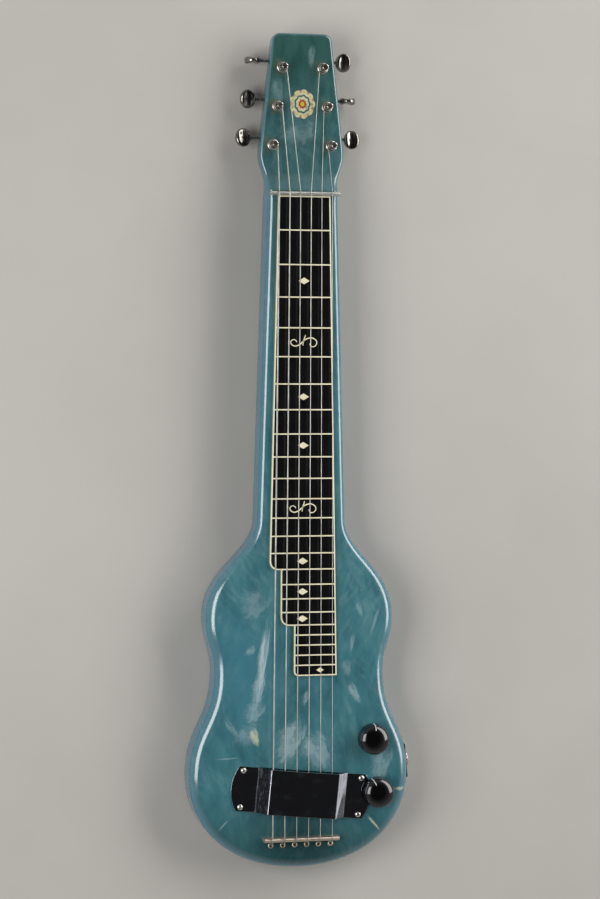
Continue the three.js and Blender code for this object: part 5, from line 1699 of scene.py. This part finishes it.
def make_sky():
    """Soft light from all round: pale near the floor and dark overhead, as a studio's ceiling is."""
    world = bpy.data.worlds.new("soft_studio")
    world.use_nodes = True
    bpy.context.scene.world = world
    nodes, links = world.node_tree.nodes, world.node_tree.links
    sky = nodes["Background"]
    sky.inputs["Strength"].default_value = 1.0
    place = nodes.new("ShaderNodeTexCoord")
    split = nodes.new("ShaderNodeSeparateXYZ")
    ramp = nodes.new("ShaderNodeValToRGB")
    links.new(place.outputs["Generated"], split.inputs[0])
    links.new(split.outputs["Z"], ramp.inputs[0])
    levels = ((0.0, 0.42), (0.35, 0.42), (0.66, 0.26), (0.88, 0.018))
    set_stops(ramp.color_ramp, [(place, (level, level, 0.98 * level)) for place, level in levels])
    links.new(ramp.outputs[0], sky.inputs["Color"])


def lamp(name, place, target, size, power):
    light = bpy.data.lights.new(name, "AREA")
    light.shape = "RECTANGLE"
    light.size, light.size_y = size
    light.energy = power
    holder = bpy.data.objects.new(name, light)
    holder.location = place
    way = Vector(target) - Vector(place)
    holder.rotation_euler = way.to_track_quat("-Z", "Y").to_euler()
    bpy.context.collection.objects.link(holder)


def make_lamps():
    lamp("left_softbox", (-1.25, 0.17, 1.10), (0, 0.17, 0), (1.1, 0.9), 18)
    lamp("right_softbox", (1.35, 0.85, 0.95), (0, 0.30, 0), (2.5, 0.85), 35)


def tipped(first, second, angle):
    """Two square directions turned in their own plane."""
    cosine, sine = math.cos(angle), math.sin(angle)
    return cosine * first - sine * second, cosine * second + sine * first


def make_camera():
    """The camera of the photograph, from where its lines run on the guitar."""
    aim, distance = Vector((-2.9, 199.3, 38.2)) * MM, 2207 * MM
    focal, picture, sensor = 2500, 899, 36
    yaw, pitch, roll = (math.radians(a) for a in (13.02, 2.38, 0.3))
    ahead = Vector((math.sin(yaw), 0, -math.cos(yaw)))
    right = Vector((math.cos(yaw), 0, math.sin(yaw)))
    up = Vector((0, 1, 0))
    ahead, up = tipped(ahead, up, pitch)
    right, up = tipped(right, up, -roll)
    lens = bpy.data.cameras.new("camera")
    lens.sensor_width = sensor
    lens.lens = focal * sensor / picture
    lens.clip_start, lens.clip_end = 0.05, 50
    camera = bpy.data.objects.new("camera", lens)
    place = aim - distance * ahead
    camera.matrix_world = Matrix((
        (right.x, up.x, -ahead.x, place.x),
        (right.y, up.y, -ahead.y, place.y),
        (right.z, up.z, -ahead.z, place.z),
        (0, 0, 0, 1),
    ))
    bpy.context.collection.objects.link(camera)
    bpy.context.scene.camera = camera


make_camera()
make_front_sheet()
make_back_sheet()
make_board()
make_bars()
make_rosette()
make_eyelets()
make_strings()
make_tuners()
make_cover()
make_knobs()
make_pocket_cover()
make_jack()
dress_kept_solids()
make_floor()
make_sky()
make_lamps()
bpy.context.scene.view_settings.view_transform = "Standard"
